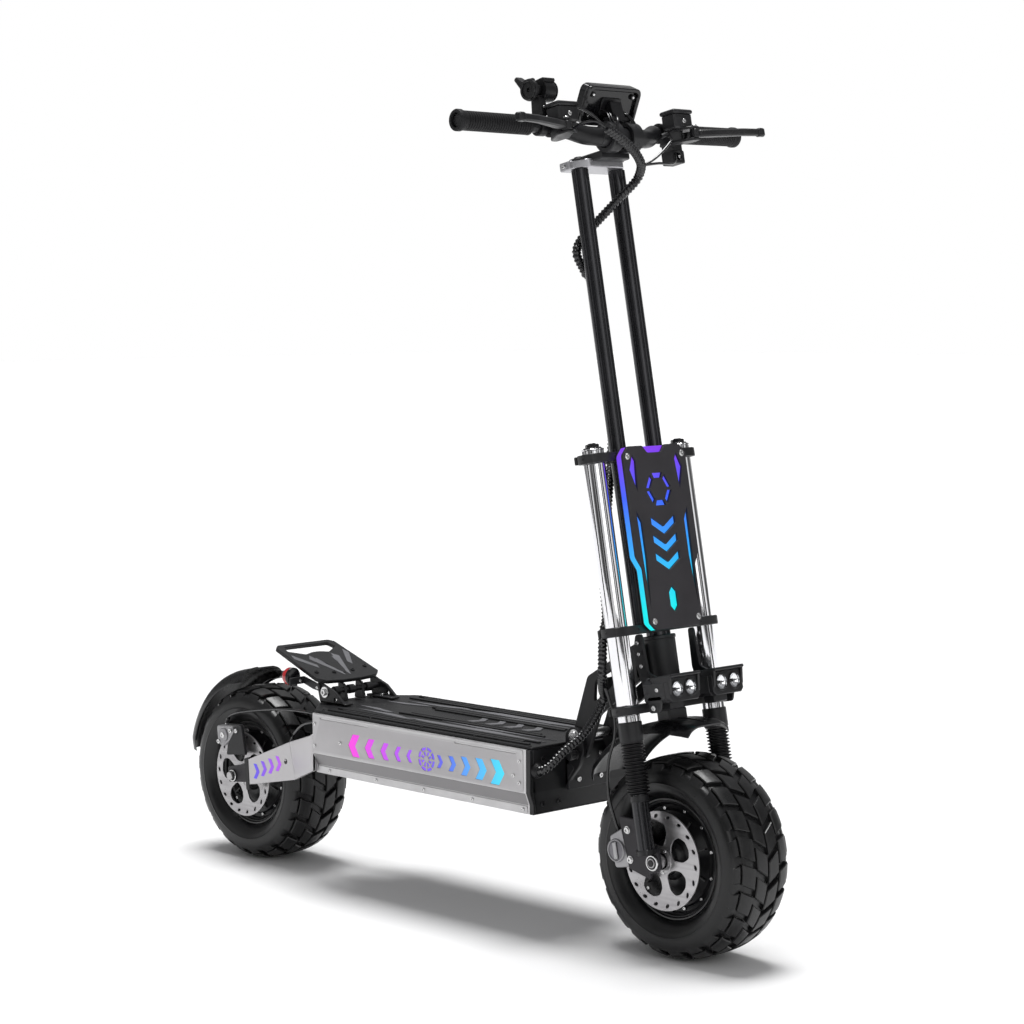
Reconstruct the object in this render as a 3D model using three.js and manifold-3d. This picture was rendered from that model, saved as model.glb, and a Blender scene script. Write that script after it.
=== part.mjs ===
// Electric kick scooter with thirteen-inch tyres, a double-clamp fork and a folding neck.
// Millimetres, +X towards the front wheel, +Y to the rider's left, +Z up, floor at z = 0.
// The origin is on the floor, under the middle of the scooter's overall length and width.
import * as THREE from "three";
import { mergeVertices } from "three/addons/utils/BufferGeometryUtils.js";
import Module from "manifold-3d";

const wasm = await Module();
wasm.setup();

// ---------------------------------------------------------------- driving dimensions
const GAP = 0.3; // running or assembly gap between pieces that meet
const WHEELBASE = 1086;
const REAR_AXLE_X = -529.2; // puts the origin under the middle of the whole scooter
const WHEEL_RADIUS = 165;
const TYRE_HALF_WIDTH = 68;
const TYRE_FACETS = 32;
const RIM_RADIUS = 98;
const RAKE = THREE.MathUtils.degToRad(10.6); // steering axis, leaning back from vertical
const STEER_OFFSET = -6; // steering axis behind the plane of the fork tubes
const FORK_HALF_SPACING = 101;
const STEM_HALF_SPACING = 43;
const DECK_HALF_WIDTH = 130;
const DECK_REAR = 284; // from the rear axle, as is every chassis length
const DECK_FRONT = 846;
const DECK_BOTTOM = 212;
const DECK_TOP = 321;
const BOARD_THICKNESS = 7;
const CROWN_HEIGHT = 245; // heights along the fork, from the front axle
const LOWER_CLAMP_HEIGHT = 371;
const UPPER_CLAMP_HEIGHT = 651;
const BRIDGE_HEIGHT = 1133;
const SIDE_PLATE = { thickness: 5, bevelHeight: 24, bevelInset: 13 };
const KICKSTAND = { x: 520, y: 105, z: 199, pinRadius: 3, length: 186 };
const FOOTREST = { rearX: 96, rearZ: 420, frontX: 240, frontZ: 368, rearHalf: 71, frontHalf: 75 };
const FOLD_PIVOT = { x: 868, z: 338 };
const CHEEK = { inner: 31.7, outer: 39.7 }; // of the folding neck, to each side
const EAR = { inner: 40, outer: 48 };
const LATCH = { x: 874, z: 308 };
const FORK_TUBE_RADIUS = 18;
const SLIDER_ROD_RADIUS = 11;
const STEM_RADIUS = 14;
const STEERER_RADIUS = 20;
const HEAD_TUBE = { radius: 26, span: [255, 358] };
const BAR_RADIUS = 16;
const BAR_GRIP_RADIUS = 11;
const BAR_BORE = BAR_GRIP_RADIUS + 3 * GAP; // of the pieces that fit round the bar
const BAR_CENTRE = { x: 57, z: 1166 };
const BAR_KNEE = { x: 35, y: 111, z: 1183 };
const BAR_END = { x: 21.8, y: 322, z: 1188.6 };
const BAR_END_Y = 321;
const LEVER = { x: 88, y: -150, z: 1172, pinRadius: 3 }; // right brake lever's pivot
const DISPLAY_TILT = 32; // the screen leans away from the rider by this much

// ---------------------------------------------------------------- geometry helpers
// A closed geometry becomes a solid that can be joined and cut; inside-out faces are turned round.
function solid(geometry) {
  const plain = geometry.clone();
  plain.deleteAttribute("normal");
  plain.deleteAttribute("uv");
  const merged = mergeVertices(plain, 1e-4);
  const triVerts = new Uint32Array(merged.index.array);
  const vertProperties = new Float32Array(merged.attributes.position.array);
  if (signedVolume(vertProperties, triVerts) < 0) triVerts.reverse();
  return new wasm.Manifold(new wasm.Mesh({ numProp: 3, vertProperties, triVerts }));
}

function signedVolume(positions, triangles) {
  const corner = (i) => new THREE.Vector3().fromArray(positions, 3 * triangles[i]);
  let sum = 0;
  for (let i = 0; i < triangles.length; i += 3) {
    sum += corner(i).dot(corner(i + 1).cross(corner(i + 2)));
  }
  return sum / 6;
}

function toGeometry(body) {
  const mesh = body.getMesh();
  const geometry = new THREE.BufferGeometry();
  geometry.setAttribute("position", new THREE.BufferAttribute(mesh.vertProperties, 3));
  geometry.setIndex(new THREE.BufferAttribute(mesh.triVerts, 1));
  geometry.computeVertexNormals();
  return geometry;
}

const join = (...bodies) => bodies.reduce((sum, body) => sum.add(body));
const cut = (body, ...tools) => tools.reduce((rest, tool) => rest.subtract(tool), body);
const mirrorY = (body) => body.mirror([0, 1, 0]);

function box([x0, x1], [y0, y1], [z0, z1]) {
  const geometry = new THREE.BoxGeometry(x1 - x0, y1 - y0, z1 - z0);
  return solid(geometry.translate((x0 + x1) / 2, (y0 + y1) / 2, (z0 + z1) / 2));
}

// A straight rod between two points; a second radius makes it a cone.
function rod(from, to, radius, sides = 12, endRadius = radius) {
  const a = new THREE.Vector3(...from);
  const b = new THREE.Vector3(...to);
  const length = a.distanceTo(b);
  const geometry = new THREE.CylinderGeometry(endRadius, radius, length, sides);
  const turn = new THREE.Quaternion().setFromUnitVectors(
    new THREE.Vector3(0, 1, 0),
    b.clone().sub(a).normalize(),
  );
  geometry.applyQuaternion(turn);
  return solid(geometry.translate(...a.add(b).multiplyScalar(0.5).toArray()));
}

const rodY = (x, z, [y0, y1], radius, sides = 12) => rod([x, y0, z], [x, y1, z], radius, sides);
const rodZ = (x, y, [z0, z1], radius, sides = 12) => rod([x, y, z0], [x, y, z1], radius, sides);

function outline(points, holes = []) {
  const shape = new THREE.Shape(wound(points, false));
  for (const hole of holes) shape.holes.push(new THREE.Path(wound(hole, true)));
  return shape;
}

function wound(points, clockwise) {
  const path = points.map(([u, v]) => new THREE.Vector2(u, v));
  return THREE.ShapeUtils.isClockWise(path) === clockwise ? path : path.reverse();
}

// Plates from an outline: in the XZ plane with a thickness along Y, or in XY along Z, or in YZ along X.
function plateXZ(points, [y0, y1], holes) {
  const geometry = new THREE.ExtrudeGeometry(outline(points, holes), extrusion(y1 - y0));
  return solid(geometry.rotateX(Math.PI / 2).translate(0, y1, 0));
}

function plateXY(points, [z0, z1], holes) {
  const geometry = new THREE.ExtrudeGeometry(outline(points, holes), extrusion(z1 - z0));
  return solid(geometry.translate(0, 0, z0));
}

function plateYZ(points, [x0, x1], holes) {
  const geometry = new THREE.ExtrudeGeometry(outline(points, holes), extrusion(x1 - x0));
  return solid(geometry.rotateZ(Math.PI / 2).rotateY(Math.PI / 2).translate(x0, 0, 0));
}

function extrusion(depth) {
  return { depth, bevelEnabled: false, curveSegments: 8 };
}

const withMirror = (points) => [...points, ...points.map(([u, v]) => [u, -v]).reverse()];
const withMirrorU = (points) => [...points, ...points.map(([u, v]) => [-u, v]).reverse()];

// A piece turned about the Y axis, from pairs of radius and y.
function turned(profile, facets) {
  const points = profile.map(([radius, y]) => new THREE.Vector2(radius, y));
  return solid(new THREE.LatheGeometry(points, facets, Math.PI / facets));
}

// A bent tube through the given points, round in section.
function tube(points, radius, steps, sides = 8) {
  const curve = new THREE.CatmullRomCurve3(points.map((p) => new THREE.Vector3(...p)), false, "centripetal");
  const ring = new THREE.Shape();
  ring.absarc(0, 0, radius, 0, 2 * Math.PI);
  const points2d = ring.getSpacedPoints(sides).slice(0, sides);
  const section = new THREE.Shape(points2d);
  return solid(new THREE.ExtrudeGeometry(section, { extrudePath: curve, steps, bevelEnabled: false }));
}

// Part of a ring about a wheel's axle, seen from the side, from one angle to another.
// Angles are measured from straight up, positive towards the front.
function arcBand(section, fromDegrees, toDegrees, steps) {
  const from = THREE.MathUtils.degToRad(fromDegrees);
  const sweep = THREE.MathUtils.degToRad(toDegrees - fromDegrees);
  const ring = wound(section, false);
  const positions = [];
  for (let i = 0; i <= steps; i++) {
    const angle = from + (sweep * i) / steps;
    for (const { x: y, y: radius } of ring) positions.push(radius * Math.sin(angle), y, radius * Math.cos(angle));
  }
  const count = ring.length;
  const last = steps * count;
  const index = [];
  for (const [a, b, c] of THREE.ShapeUtils.triangulateShape(ring, [])) {
    index.push(a, b, c, last + a, last + c, last + b);
  }
  for (let i = 0; i < last; i += count) {
    for (let k = 0; k < count; k++) {
      const a = i + k;
      const b = i + ((k + 1) % count);
      index.push(a, a + count, b, b, a + count, b + count);
    }
  }
  const geometry = new THREE.BufferGeometry();
  geometry.setAttribute("position", new THREE.Float32BufferAttribute(positions, 3));
  geometry.setIndex(index);
  return solid(geometry);
}

// ---------------------------------------------------------------- materials
const material = (color, roughness, metalness) =>
  new THREE.MeshStandardMaterial({ color, roughness, metalness });
const silver = () => material(0xc9cbcd, 0.35, 0.9);
const chrome = () => material(0xe8e9ea, 0.12, 1);
const blackMetal = () => material(0x2c2d2f, 0.5, 0.6);
const greyMetal = () => material(0x5c5e61, 0.5, 0.7);
const blackPlastic = () => material(0x222325, 0.6, 0);
const rubber = () => material(0x2a2a2b, 0.85, 0);
const cable = () => material(0x1d1e20, 0.55, 0);

function addPart(group, name, body, look) {
  const mesh = new THREE.Mesh(toGeometry(body), look);
  mesh.name = name;
  group.add(mesh);
}

// ---------------------------------------------------------------- chassis
// Chassis lengths run from the rear axle towards the front; heights from the floor.
function chassisTray() {
  const wall = 3;
  const half = DECK_HALF_WIDTH - SIDE_PLATE.thickness - GAP;
  const bend = DECK_BOTTOM + SIDE_PLATE.bevelHeight;
  const outer = [[-half, DECK_TOP], [-half, bend], [-half + SIDE_PLATE.bevelInset, DECK_BOTTOM]];
  const inner = [[half - wall, DECK_TOP], [half - wall, bend], [half - wall - SIDE_PLATE.bevelInset,
    DECK_BOTTOM + wall]];
  const channel = plateYZ([...withMirrorU(outer), ...withMirrorU(inner)], [DECK_REAR, DECK_FRONT]);
  const ends = [DECK_REAR, DECK_FRONT - wall].map((x) => plateYZ(withMirrorU(outer), [x, x + wall]));
  const lug = [[KICKSTAND.x - 16, DECK_BOTTOM + 2], [KICKSTAND.x - 10, KICKSTAND.z - 9], [KICKSTAND.x + 10,
    KICKSTAND.z - 9], [KICKSTAND.x + 16, DECK_BOTTOM + 2]];
  const lugs = [-6, 3].map((dy) => plateXZ(lug, [KICKSTAND.y + dy, KICKSTAND.y + dy + 3]));
  const pin = rodY(KICKSTAND.x, KICKSTAND.z, [KICKSTAND.y - 5, KICKSTAND.y + 5], KICKSTAND.pinRadius, 10);
  return join(channel, ...ends, ...lugs, pin);
}

function kickstandLeg() {
  const { x, y, z, length } = KICKSTAND;
  const barrel = rodY(x, z, [y - 3 + GAP, y + 3 - GAP], 7, 12);
  const leg = rod([x - 4, y, z], [x - length, y, z], 5, 8);
  const foot = box([x - length - 6, x - length + 16], [y - 6, y + 6], [z - 5, z + 4]);
  const flanks = [[y - 10, y - 3 + GAP], [y + 3 - GAP, y + 10]];
  const trimmed = cut(leg, ...flanks.map((span) => box([x - 18, x + 8], span, [z - 9, z + 9])));
  return cut(join(trimmed, barrel, foot), rodY(x, z, [y - 10, y + 10], KICKSTAND.pinRadius + 0.6, 10));
}

// A side plate: a flat sheet with its lower edge turned in.
function sidePlate() {
  const { thickness, bevelHeight, bevelInset } = SIDE_PLATE;
  const outer = -DECK_HALF_WIDTH;
  const bend = DECK_BOTTOM + bevelHeight;
  const section = [
    [outer, DECK_TOP],
    [outer, bend],
    [outer + bevelInset, DECK_BOTTOM],
    [outer + bevelInset + thickness, DECK_BOTTOM],
    [outer + thickness, bend],
    [outer + thickness, DECK_TOP],
  ];
  return plateYZ(section, [DECK_REAR, DECK_FRONT]);
}

// A rear arm: it starts against the deck's end, bends in beside the wheel and carries the axle.
function rearArm() {
  const inner = -88;
  const thickness = 6;
  const flat = plateXZ([[-26, 146], [-30, 188], [40, 199], [172, 250], [188, 181], [41, 152]], [
    inner - thickness,
    inner,
  ]);
  const bend = wedge(
    [[172, 250], [188, 181]],
    [[DECK_REAR - GAP, 281], [DECK_REAR - GAP, 214]],
    inner,
    -DECK_HALF_WIDTH + thickness,
    thickness,
  );
  const foot = box([DECK_REAR - 6, DECK_REAR - GAP], [-DECK_HALF_WIDTH, -60], [214, 281]);
  return cut(join(flat, bend, foot), rodY(0, WHEEL_RADIUS, [-110, -70], 8 + GAP, 16));
}

// A sheet between two edges, given as [x, z] pairs, that also changes its y from y0 to y1.
function wedge(edge0, edge1, y0, y1, thickness) {
  const corners = [
    ...edge0.map(([x, z]) => [x, y0, z]),
    ...edge1.map(([x, z]) => [x, y1, z]),
    ...edge0.map(([x, z]) => [x, y0 - thickness, z]),
    ...edge1.map(([x, z]) => [x, y1 - thickness, z]),
  ];
  const quads = [[0, 1, 3, 2], [4, 6, 7, 5], [0, 4, 5, 1], [1, 5, 7, 3], [3, 7, 6, 2], [2, 6, 4, 0]];
  const geometry = new THREE.BufferGeometry();
  geometry.setAttribute("position", new THREE.Float32BufferAttribute(corners.flat(), 3));
  geometry.setIndex(quads.flatMap(([a, b, c, d]) => [a, b, c, a, c, d]));
  return solid(geometry);
}

function deckBoard() {
  const rim = withMirror([[222, 62], [DECK_REAR, DECK_HALF_WIDTH - 5], [DECK_FRONT, DECK_HALF_WIDTH - 5]]);
  const bottom = DECK_TOP + GAP;
  const sheet = plateXY(rim, [bottom, bottom + BOARD_THICKNESS - 2]);
  const ribs = [-108, -86, 86, 108].map((y) =>
    box([300, 830], [y - 5, y + 5], [bottom + 1, bottom + BOARD_THICKNESS]),
  );
  return join(sheet, ...ribs);
}

function batteryPack() {
  return box([DECK_REAR + 110, DECK_FRONT - 14], [-108, 108], [DECK_BOTTOM + 3 + GAP, DECK_TOP - 8]);
}

// The neck's base: a block on the deck's front wall with two ears that hold the folding pin.
function neckBase() {
  const { x, z } = FOLD_PIVOT;
  const block = box([DECK_FRONT + GAP, DECK_FRONT + 10], [-EAR.outer, EAR.outer], [246, 322]);
  const ear = [[DECK_FRONT + GAP, 250], [x + 12, 290], [x + 22, z - 22], [x + 12, z + 13], [x - 8, z + 15],
    [DECK_FRONT + GAP, z + 4]];
  const ears = [-1, 1].map((side) => plateXZ(ear, sided(side, EAR)));
  const pin = rodY(x, z, [-EAR.outer - 1, EAR.outer + 1], 8, 16);
  const heads = [-1, 1].map((side) => rodY(x, z, sided(side, { inner: EAR.outer, outer: EAR.outer + 6 }), 12, 6));
  const latchBore = rodY(LATCH.x, LATCH.z, [-EAR.outer - 1, -CHEEK.inner], 4 + GAP);
  return cut(join(block, ...ears, pin, ...heads), latchBore);
}

// A span of y on one side of the middle.
function sided(side, { inner, outer }) {
  return side < 0 ? [-outer, -inner] : [inner, outer];
}

// Clamp screw of the folding neck: a knob outside the right ear whose stud presses on the cheek.
function foldLatch() {
  const knob = rodY(LATCH.x, LATCH.z, [-EAR.outer - 20, -EAR.outer - GAP], 8);
  const stud = rodY(LATCH.x, LATCH.z, [-EAR.outer - 4, -EAR.inner], 4);
  return join(knob, stud);
}

// Footrest: a plate that rises to the rear, with a hand hole near its rear edge.
function footrest() {
  const { rearX, rearZ, frontX, frontZ, rearHalf, frontHalf } = FOOTREST;
  const length = Math.hypot(frontX - rearX, rearZ - frontZ);
  const rim = withMirror([[0, rearHalf - 10], [10, rearHalf], [length - 14, frontHalf], [length, frontHalf - 16],
    [length + 4, 20]]);
  const hole = withMirror([[11, 52], [28, 57], [46, 28], [40, 8]]);
  const geometry = new THREE.ExtrudeGeometry(outline(rim, [hole]), extrusion(7));
  geometry.rotateY(Math.atan2(rearZ - frontZ, frontX - rearX));
  return solid(geometry.translate(rearX, 0, rearZ - 7));
}

// Footrest frame: two side brackets and two posts, tied together by a cross rod.
function footrestFrame() {
  const boardTop = DECK_TOP + BOARD_THICKNESS - 2 + 2 * GAP;
  const bracket = [[228, boardTop], [222, 349], [222, 366.5], [250, 356.5], [268, 351], [300, boardTop]];
  const brackets = [-66, 60].map((y) => plateXZ(bracket, [y, y + 6]));
  const feet = [-66, 46].map((y) => box([228, 300], [y, y + 20], [boardTop, boardTop + 4]));
  const posts = [-24, 18].map((y) =>
    plateXZ([[226, boardTop], [230, 362], [246, 357.5], [254, boardTop]], [y, y + 6]),
  );
  const crossRod = rodY(243, 347, [-70, 70], 5);
  const heads = [-72, 66].map((y) => rodY(243, 347, [y, y + 6], 9));
  return join(...brackets, ...feet, ...posts, crossRod, ...heads);
}

// A round tail lamp whose lens faces rearwards, with the bracket that ties it to the footrest's frame.
function tailLight() {
  const [x, y, z] = [184, -91, 372];
  const body = rod([x, y, z], [x - 14, y, z], 17, 20);
  const dome = rod([x - 14, y, z], [x - 20, y, z], 17, 20, 11);
  const plate = box([x - 1, x + 4], [y - 12, -66 - GAP], [358, 371]);
  const strip = plateXZ([[x + 2, 358], [x + 2, 371], [232, 360], [232, 348], [214, 350]], [-70, -66 - GAP]);
  return join(body, dome, plate, strip);
}

// Section of a mudguard as [y, radius] pairs: a crowned sheet with turned-down sides.
function fenderSection(crown, halfWidth, drop) {
  const outer = [[halfWidth, crown - drop], [halfWidth - 7, crown - 6], [halfWidth - 24, crown]];
  const inner = [[halfWidth - 24, crown - 3], [halfWidth - 9.5, crown - 8.5], [halfWidth - 3, crown - drop]];
  const mirrored = (points) => points.map(([y, radius]) => [-y, radius]).reverse();
  return [...outer, ...mirrored(outer), ...mirrored(inner), ...inner];
}

function rearFender() {
  const sheet = arcBand(fenderSection(197, 58, 21), -78, -8, 10);
  const upright = plateXZ([[-27, 10], [-16, 12], [-6, 40], [-44, 167], [-60, 162], [-24, 30]], [94 + GAP, 97]);
  const bridge = plateXZ([[-60, 162], [-44, 167], [-62, 178], [-72, 170]], [48, 97]);
  const inside = arcBand([[-60, 5], [-60, 191], [53, 191], [53, 5]], -60, 20, 12);
  return join(sheet, cut(join(upright, bridge), inside)).translate(0, 0, WHEEL_RADIUS);
}

function rearAxle() {
  const shaft = rodY(0, WHEEL_RADIUS, [-104, 104], 8, 16);
  const nuts = [-104, 94 + GAP].map((y) => rodY(0, WHEEL_RADIUS, [y, y + 10 - GAP], 14, 6));
  const collars = [[-88 + GAP, -74], [74, 88 - GAP]].map((span) => rodY(0, WHEEL_RADIUS, span, 12, 16));
  return join(shaft, ...nuts, ...collars);
}

// Brake caliper with its carrier plate, beside the rear disc.
function rearCaliper() {
  const plate = plateXZ([[-10, 241], [6, 262], [18, 262], [30, 206], [16, 206], [-28, 200], [-24, 222]], [-87, -81]);
  const body = plateXZ([[-58, 254], [-8, 258], [-6, 238], [-40, 214], [-54, 220]], [-87, -58]);
  const discSlot = arcBand([[-72.5, 5], [-72.5, 84], [-65.5, 84], [-65.5, 5]], -80, 40, 8);
  return cut(join(plate, body), discSlot.translate(0, 0, WHEEL_RADIUS));
}

// ---------------------------------------------------------------- wheels, about their own axle
function tyre() {
  const tread = WHEEL_RADIUS / Math.cos(Math.PI / TYRE_FACETS);
  const half = [[RIM_RADIUS + GAP, 40], [RIM_RADIUS + 8, 53], [128, TYRE_HALF_WIDTH], [150, 65], [161, 55],
    [tread, 40]];
  const profile = [...half.map(([r, y]) => [r, -y]), ...half.slice().reverse()];
  return turned([...profile, [RIM_RADIUS + GAP, -40]], TYRE_FACETS);
}

// Hub motor and rim in one turned body, bored for the axle.
function hubMotor() {
  const half = [[8.6, 60], [26, 60], [30, 50], [86, 40], [86, 46], [RIM_RADIUS, 46]];
  const profile = [...half.map(([r, y]) => [r, -y]), ...half.slice().reverse(), [8.6, -60]];
  return turned(profile, TYRE_FACETS);
}

// Brake disc: a slotted ring on five spokes, bolted to the hub.
function brakeDisc() {
  const ring = turned([[62, -70.5], [80.5, -70.5], [80.5, -67.5], [62, -67.5], [62, -70.5]], 24);
  const hub = turned([[12.6, -70.5], [25, -70.5], [25, -60 - GAP], [12.6, -60 - GAP], [12.6, -70.5]], 16);
  const spokes = [0, 1, 2, 3, 4].map((i) => {
    const spoke = plateXZ([[18, -7], [66, -4], [66, 12], [18, 7]], [-70.5, -67.5]);
    return spoke.rotate([0, 72 * i, 0]);
  });
  return join(ring, hub, ...spokes);
}

// ---------------------------------------------------------------- neck, fork and steering
// Pieces below are drawn in the fork's frame: its origin is the front axle, and its Z runs up the fork.
const forkFrame = new THREE.Matrix4()
  .makeTranslation(WHEELBASE, 0, WHEEL_RADIUS)
  .multiply(new THREE.Matrix4().makeRotationY(-RAKE));

// A point given in the chassis frame, expressed in the fork's frame.
function inFork(x, y, z) {
  return new THREE.Vector3(x, y, z).applyMatrix4(forkFrame.clone().invert()).toArray();
}

// Head bracket: two cheek plates from the folding pin up to the head tube.
function headBracket() {
  const [pinX, , pinZ] = inFork(FOLD_PIVOT.x, 0, FOLD_PIVOT.z);
  const back = STEER_OFFSET - 16;
  const cheek = [[pinX - 16, pinZ + 2], [pinX - 14, pinZ - 16], [pinX - 6, pinZ - 38], [pinX + 14, pinZ - 38],
    [pinX + 56, 240], [back, 290], [back, 350], [pinX + 40, 306], [pinX - 4, pinZ + 18]];
  const cheeks = [-1, 1].map((side) => plateXZ(cheek, sided(side, CHEEK)));
  const web = box([pinX + 60, pinX + 72], [-CHEEK.inner - 1, CHEEK.inner + 1], [258, 300]);
  const wings = box([back - 8, back + 6], [-CHEEK.outer, CHEEK.outer], [292, 346]);
  const head = rodZ(STEER_OFFSET, 0, HEAD_TUBE.span, HEAD_TUBE.radius, 20);
  const bore = rodZ(STEER_OFFSET, 0, [200, 400], STEERER_RADIUS + 0.7, 20);
  const pinHole = rodY(pinX, pinZ, [-60, 60], 8.8, 16);
  return cut(join(...cheeks, web, wings, head), bore, pinHole);
}

// A clamp that spans both fork tubes and narrows between them.
function clampPlate([z0, z1]) {
  const half = 125;
  const depth = 22;
  const waist = 20;
  const front = [[waist, 66], [depth, 80], [depth, half - 8], [depth - 6, half]];
  const rear = front.map(([x, y]) => [-x, y]).reverse();
  const right = [...front, ...rear];
  const left = right.map(([x, y]) => [x, -y]).reverse();
  return plateXY([...right, ...left], [z0, z1]);
}

function bores(halfSpacing, radius, sides = 20) {
  return [-halfSpacing, halfSpacing].map((y) => rodZ(0, y, [100, 1200], radius + GAP, sides));
}

function forkCrown() {
  const plate = clampPlate([CROWN_HEIGHT - 7, CROWN_HEIGHT + 7]);
  const steerer = rodZ(STEER_OFFSET, 0, [CROWN_HEIGHT, LOWER_CLAMP_HEIGHT + 5], STEERER_RADIUS, 20);
  return cut(join(plate, steerer), ...bores(FORK_HALF_SPACING, FORK_TUBE_RADIUS));
}

function lowerClamp() {
  const plate = clampPlate([LOWER_CLAMP_HEIGHT - 7.5, LOWER_CLAMP_HEIGHT + 7.5]);
  const steererBore = rodZ(STEER_OFFSET, 0, [300, 400], STEERER_RADIUS + GAP, 20);
  return cut(
    plate,
    ...bores(FORK_HALF_SPACING, FORK_TUBE_RADIUS),
    ...bores(STEM_HALF_SPACING, STEM_RADIUS, 16),
    steererBore,
  );
}

function upperClamp() {
  const plate = clampPlate([UPPER_CLAMP_HEIGHT - 7.5, UPPER_CLAMP_HEIGHT + 7.5]);
  return cut(plate, ...bores(FORK_HALF_SPACING, FORK_TUBE_RADIUS), ...bores(STEM_HALF_SPACING, STEM_RADIUS, 16));
}

// Upper fork tube: its seal collar below, a hexagonal cap on top, bored from below for the slider.
function forkTube() {
  const y = -FORK_HALF_SPACING;
  const collar = rodZ(0, y, [195, 227], 20, 20);
  const ring = rodZ(0, y, [227, 237.5], 19, 20);
  const barrel = rodZ(0, y, [237.5, 664], FORK_TUBE_RADIUS, 20);
  const cap = rodZ(0, y, [664, 672], 12, 6);
  return cut(join(collar, ring, barrel, cap), rodZ(0, y, [190, 420], SLIDER_ROD_RADIUS + GAP + 0.3, 12));
}

// Lower fork leg: a rod that slides in the tube, the leg itself and the flat dropout that holds the axle.
function forkSlider() {
  const y = -FORK_HALF_SPACING;
  const slidingRod = rodZ(0, y, [100, 330], SLIDER_ROD_RADIUS, 12);
  const leg = rodZ(0, y, [20, 110.5], 14, 12);
  const shoe = box([-15, 13], [y - 12, -84], [14, 24]);
  const dropout = plateXZ([[-15, 20], [13, 20], [14, -10], [4, -17], [-10, -17], [-16, -8]], [-91, -84]);
  return cut(join(slidingRod, leg, shoe, dropout), rodY(0, 0, [-120, -60], 8 + GAP, 16));
}

function bellows() {
  const y = -FORK_HALF_SPACING;
  const skin = rodZ(0, y, [110.5 + GAP, 195 - GAP], 19, 12);
  return cut(skin, rodZ(0, y, [100, 200], SLIDER_ROD_RADIUS + 1, 12));
}

function frontAxle() {
  const shaft = rodY(0, 0, [-97, 97], 8, 16);
  const nuts = [-97, 91 + GAP].map((y) => rodY(0, 0, [y, y + 6 - GAP], 13, 6));
  const collars = [[-84 + GAP, -74], [74, 84 - GAP]].map((span) => rodY(0, 0, span, 12, 16));
  return join(shaft, ...nuts, ...collars);
}

function frontCaliper() {
  const inner = -78;
  const outer = -84 + GAP;
  const plate = plateXZ([[-70, 77], [-4, 64], [-17, -28], [-62, -8]], [outer, inner]);
  const body = rodY(-84, 22, [outer, -58], 21, 16);
  const block = plateXZ([[-96, 46], [-64, 58], [-60, -6], [-92, -6]], [outer, -58]);
  const discSlot = turned([[2, -72.5], [84, -72.5], [84, -65.5], [2, -65.5], [2, -72.5]], 24);
  const axleRoom = rodY(0, 0, [-100, -50], 12 + GAP, 16);
  return cut(join(plate, body, block), discSlot, axleRoom);
}

function stemTube() {
  return rodZ(0, -STEM_HALF_SPACING, [LOWER_CLAMP_HEIGHT - 7, BRIDGE_HEIGHT - 7.5 - GAP], STEM_RADIUS, 16);
}

// Bridge on top of the stem tubes, with the two rings that clamp the handlebar.
function topBridge() {
  const z0 = BRIDGE_HEIGHT - 7.5;
  const plate = plateXY(withMirror([[22, 38], [-2, 62], [-28, 62]]), [z0, z0 + 14]);
  const riser = box([-12, 70], [-34, 34], [z0 + 9, z0 + 22]);
  const rings = [-34, 10].map((y) => rodY(BAR_CENTRE.x, BAR_CENTRE.z, [y, y + 24], 25, 20));
  return cut(join(plate, riser, ...rings), rodY(BAR_CENTRE.x, BAR_CENTRE.z, [-40, 40], BAR_RADIUS + 2 * GAP));
}

// Handlebar: its centre is forward and low, and it rises and sweeps back to the grips.
function handlebar() {
  const { x, z } = BAR_CENTRE;
  const centre = rodY(x, z, [-46, 46], BAR_RADIUS);
  const sides = [-1, 1].map((side) => {
    const route = [[x, 38, z], [x, 50, z], [50, 74, z + 3], [42, 94, z + 11], [BAR_KNEE.x, BAR_KNEE.y, BAR_KNEE.z]];
    const bend = tube(route.map(([u, y, w]) => [u, side * y, w]), BAR_RADIUS - 0.7, 9, 12);
    return join(bend, barRod(side, BAR_KNEE.y - 4, BAR_END_Y, BAR_GRIP_RADIUS));
  });
  return join(centre, ...sides);
}

// A rod along the straight outer part of the bar, between two distances from its middle.
function barRod(side, from, to, radius, sides = 12) {
  return rod(barPoint(side * from), barPoint(side * to), radius, sides);
}

function barPoint(y) {
  const share = (Math.abs(y) - BAR_KNEE.y) / (BAR_END.y - BAR_KNEE.y);
  return [
    BAR_KNEE.x + share * (BAR_END.x - BAR_KNEE.x),
    y,
    BAR_KNEE.z + share * (BAR_END.z - BAR_KNEE.z),
  ];
}

function grip(side) {
  const sleeve = barRod(side, 178, 318, 16);
  const flange = barRod(side, 317, 325, 17.5);
  return cut(join(sleeve, flange), barRod(side, 170, BAR_END_Y + GAP, BAR_BORE));
}

// Brake perch: a clamp round the bar, the arm that carries the lever's pin and the fluid reservoir.
function brakePerch() {
  const { x, y, z, pinRadius } = LEVER;
  const clamp = barRod(-1, 119, 135, 17);
  const arm = plateXY([[32, -120], [32, -134], [x - 14, y - 8], [x + 7, y - 6], [x + 4, y + 10], [60, -118]], [
    z - 12,
    z + 12,
  ]);
  const reservoir = box([51, 82], [-156, -112], [z + 9, 1214]);
  const leverSlot = box([x - 13, x + 30], [-220, y + 8], [z - 7.3, z + 7.3]);
  const pin = rodZ(x, y, [z - 11, z + 11], pinRadius, 10);
  const barBore = barRod(-1, 100, 180, BAR_BORE);
  return join(cut(join(clamp, arm, reservoir), leverSlot, barBore), pin);
}

function brakeLever() {
  const { x, y, z, pinRadius } = LEVER;
  const blade = plateXY([[x - 6, y + 5], [x + 6, y + 6], [x + 15, -180], [119, -240], [124, -286], [116, -290],
    [108, -240], [x - 2, -180]], [z - 7, z + 7]);
  return cut(blade, rodZ(x, y, [z - 11, z + 11], pinRadius + 0.6, 10));
}

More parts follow.
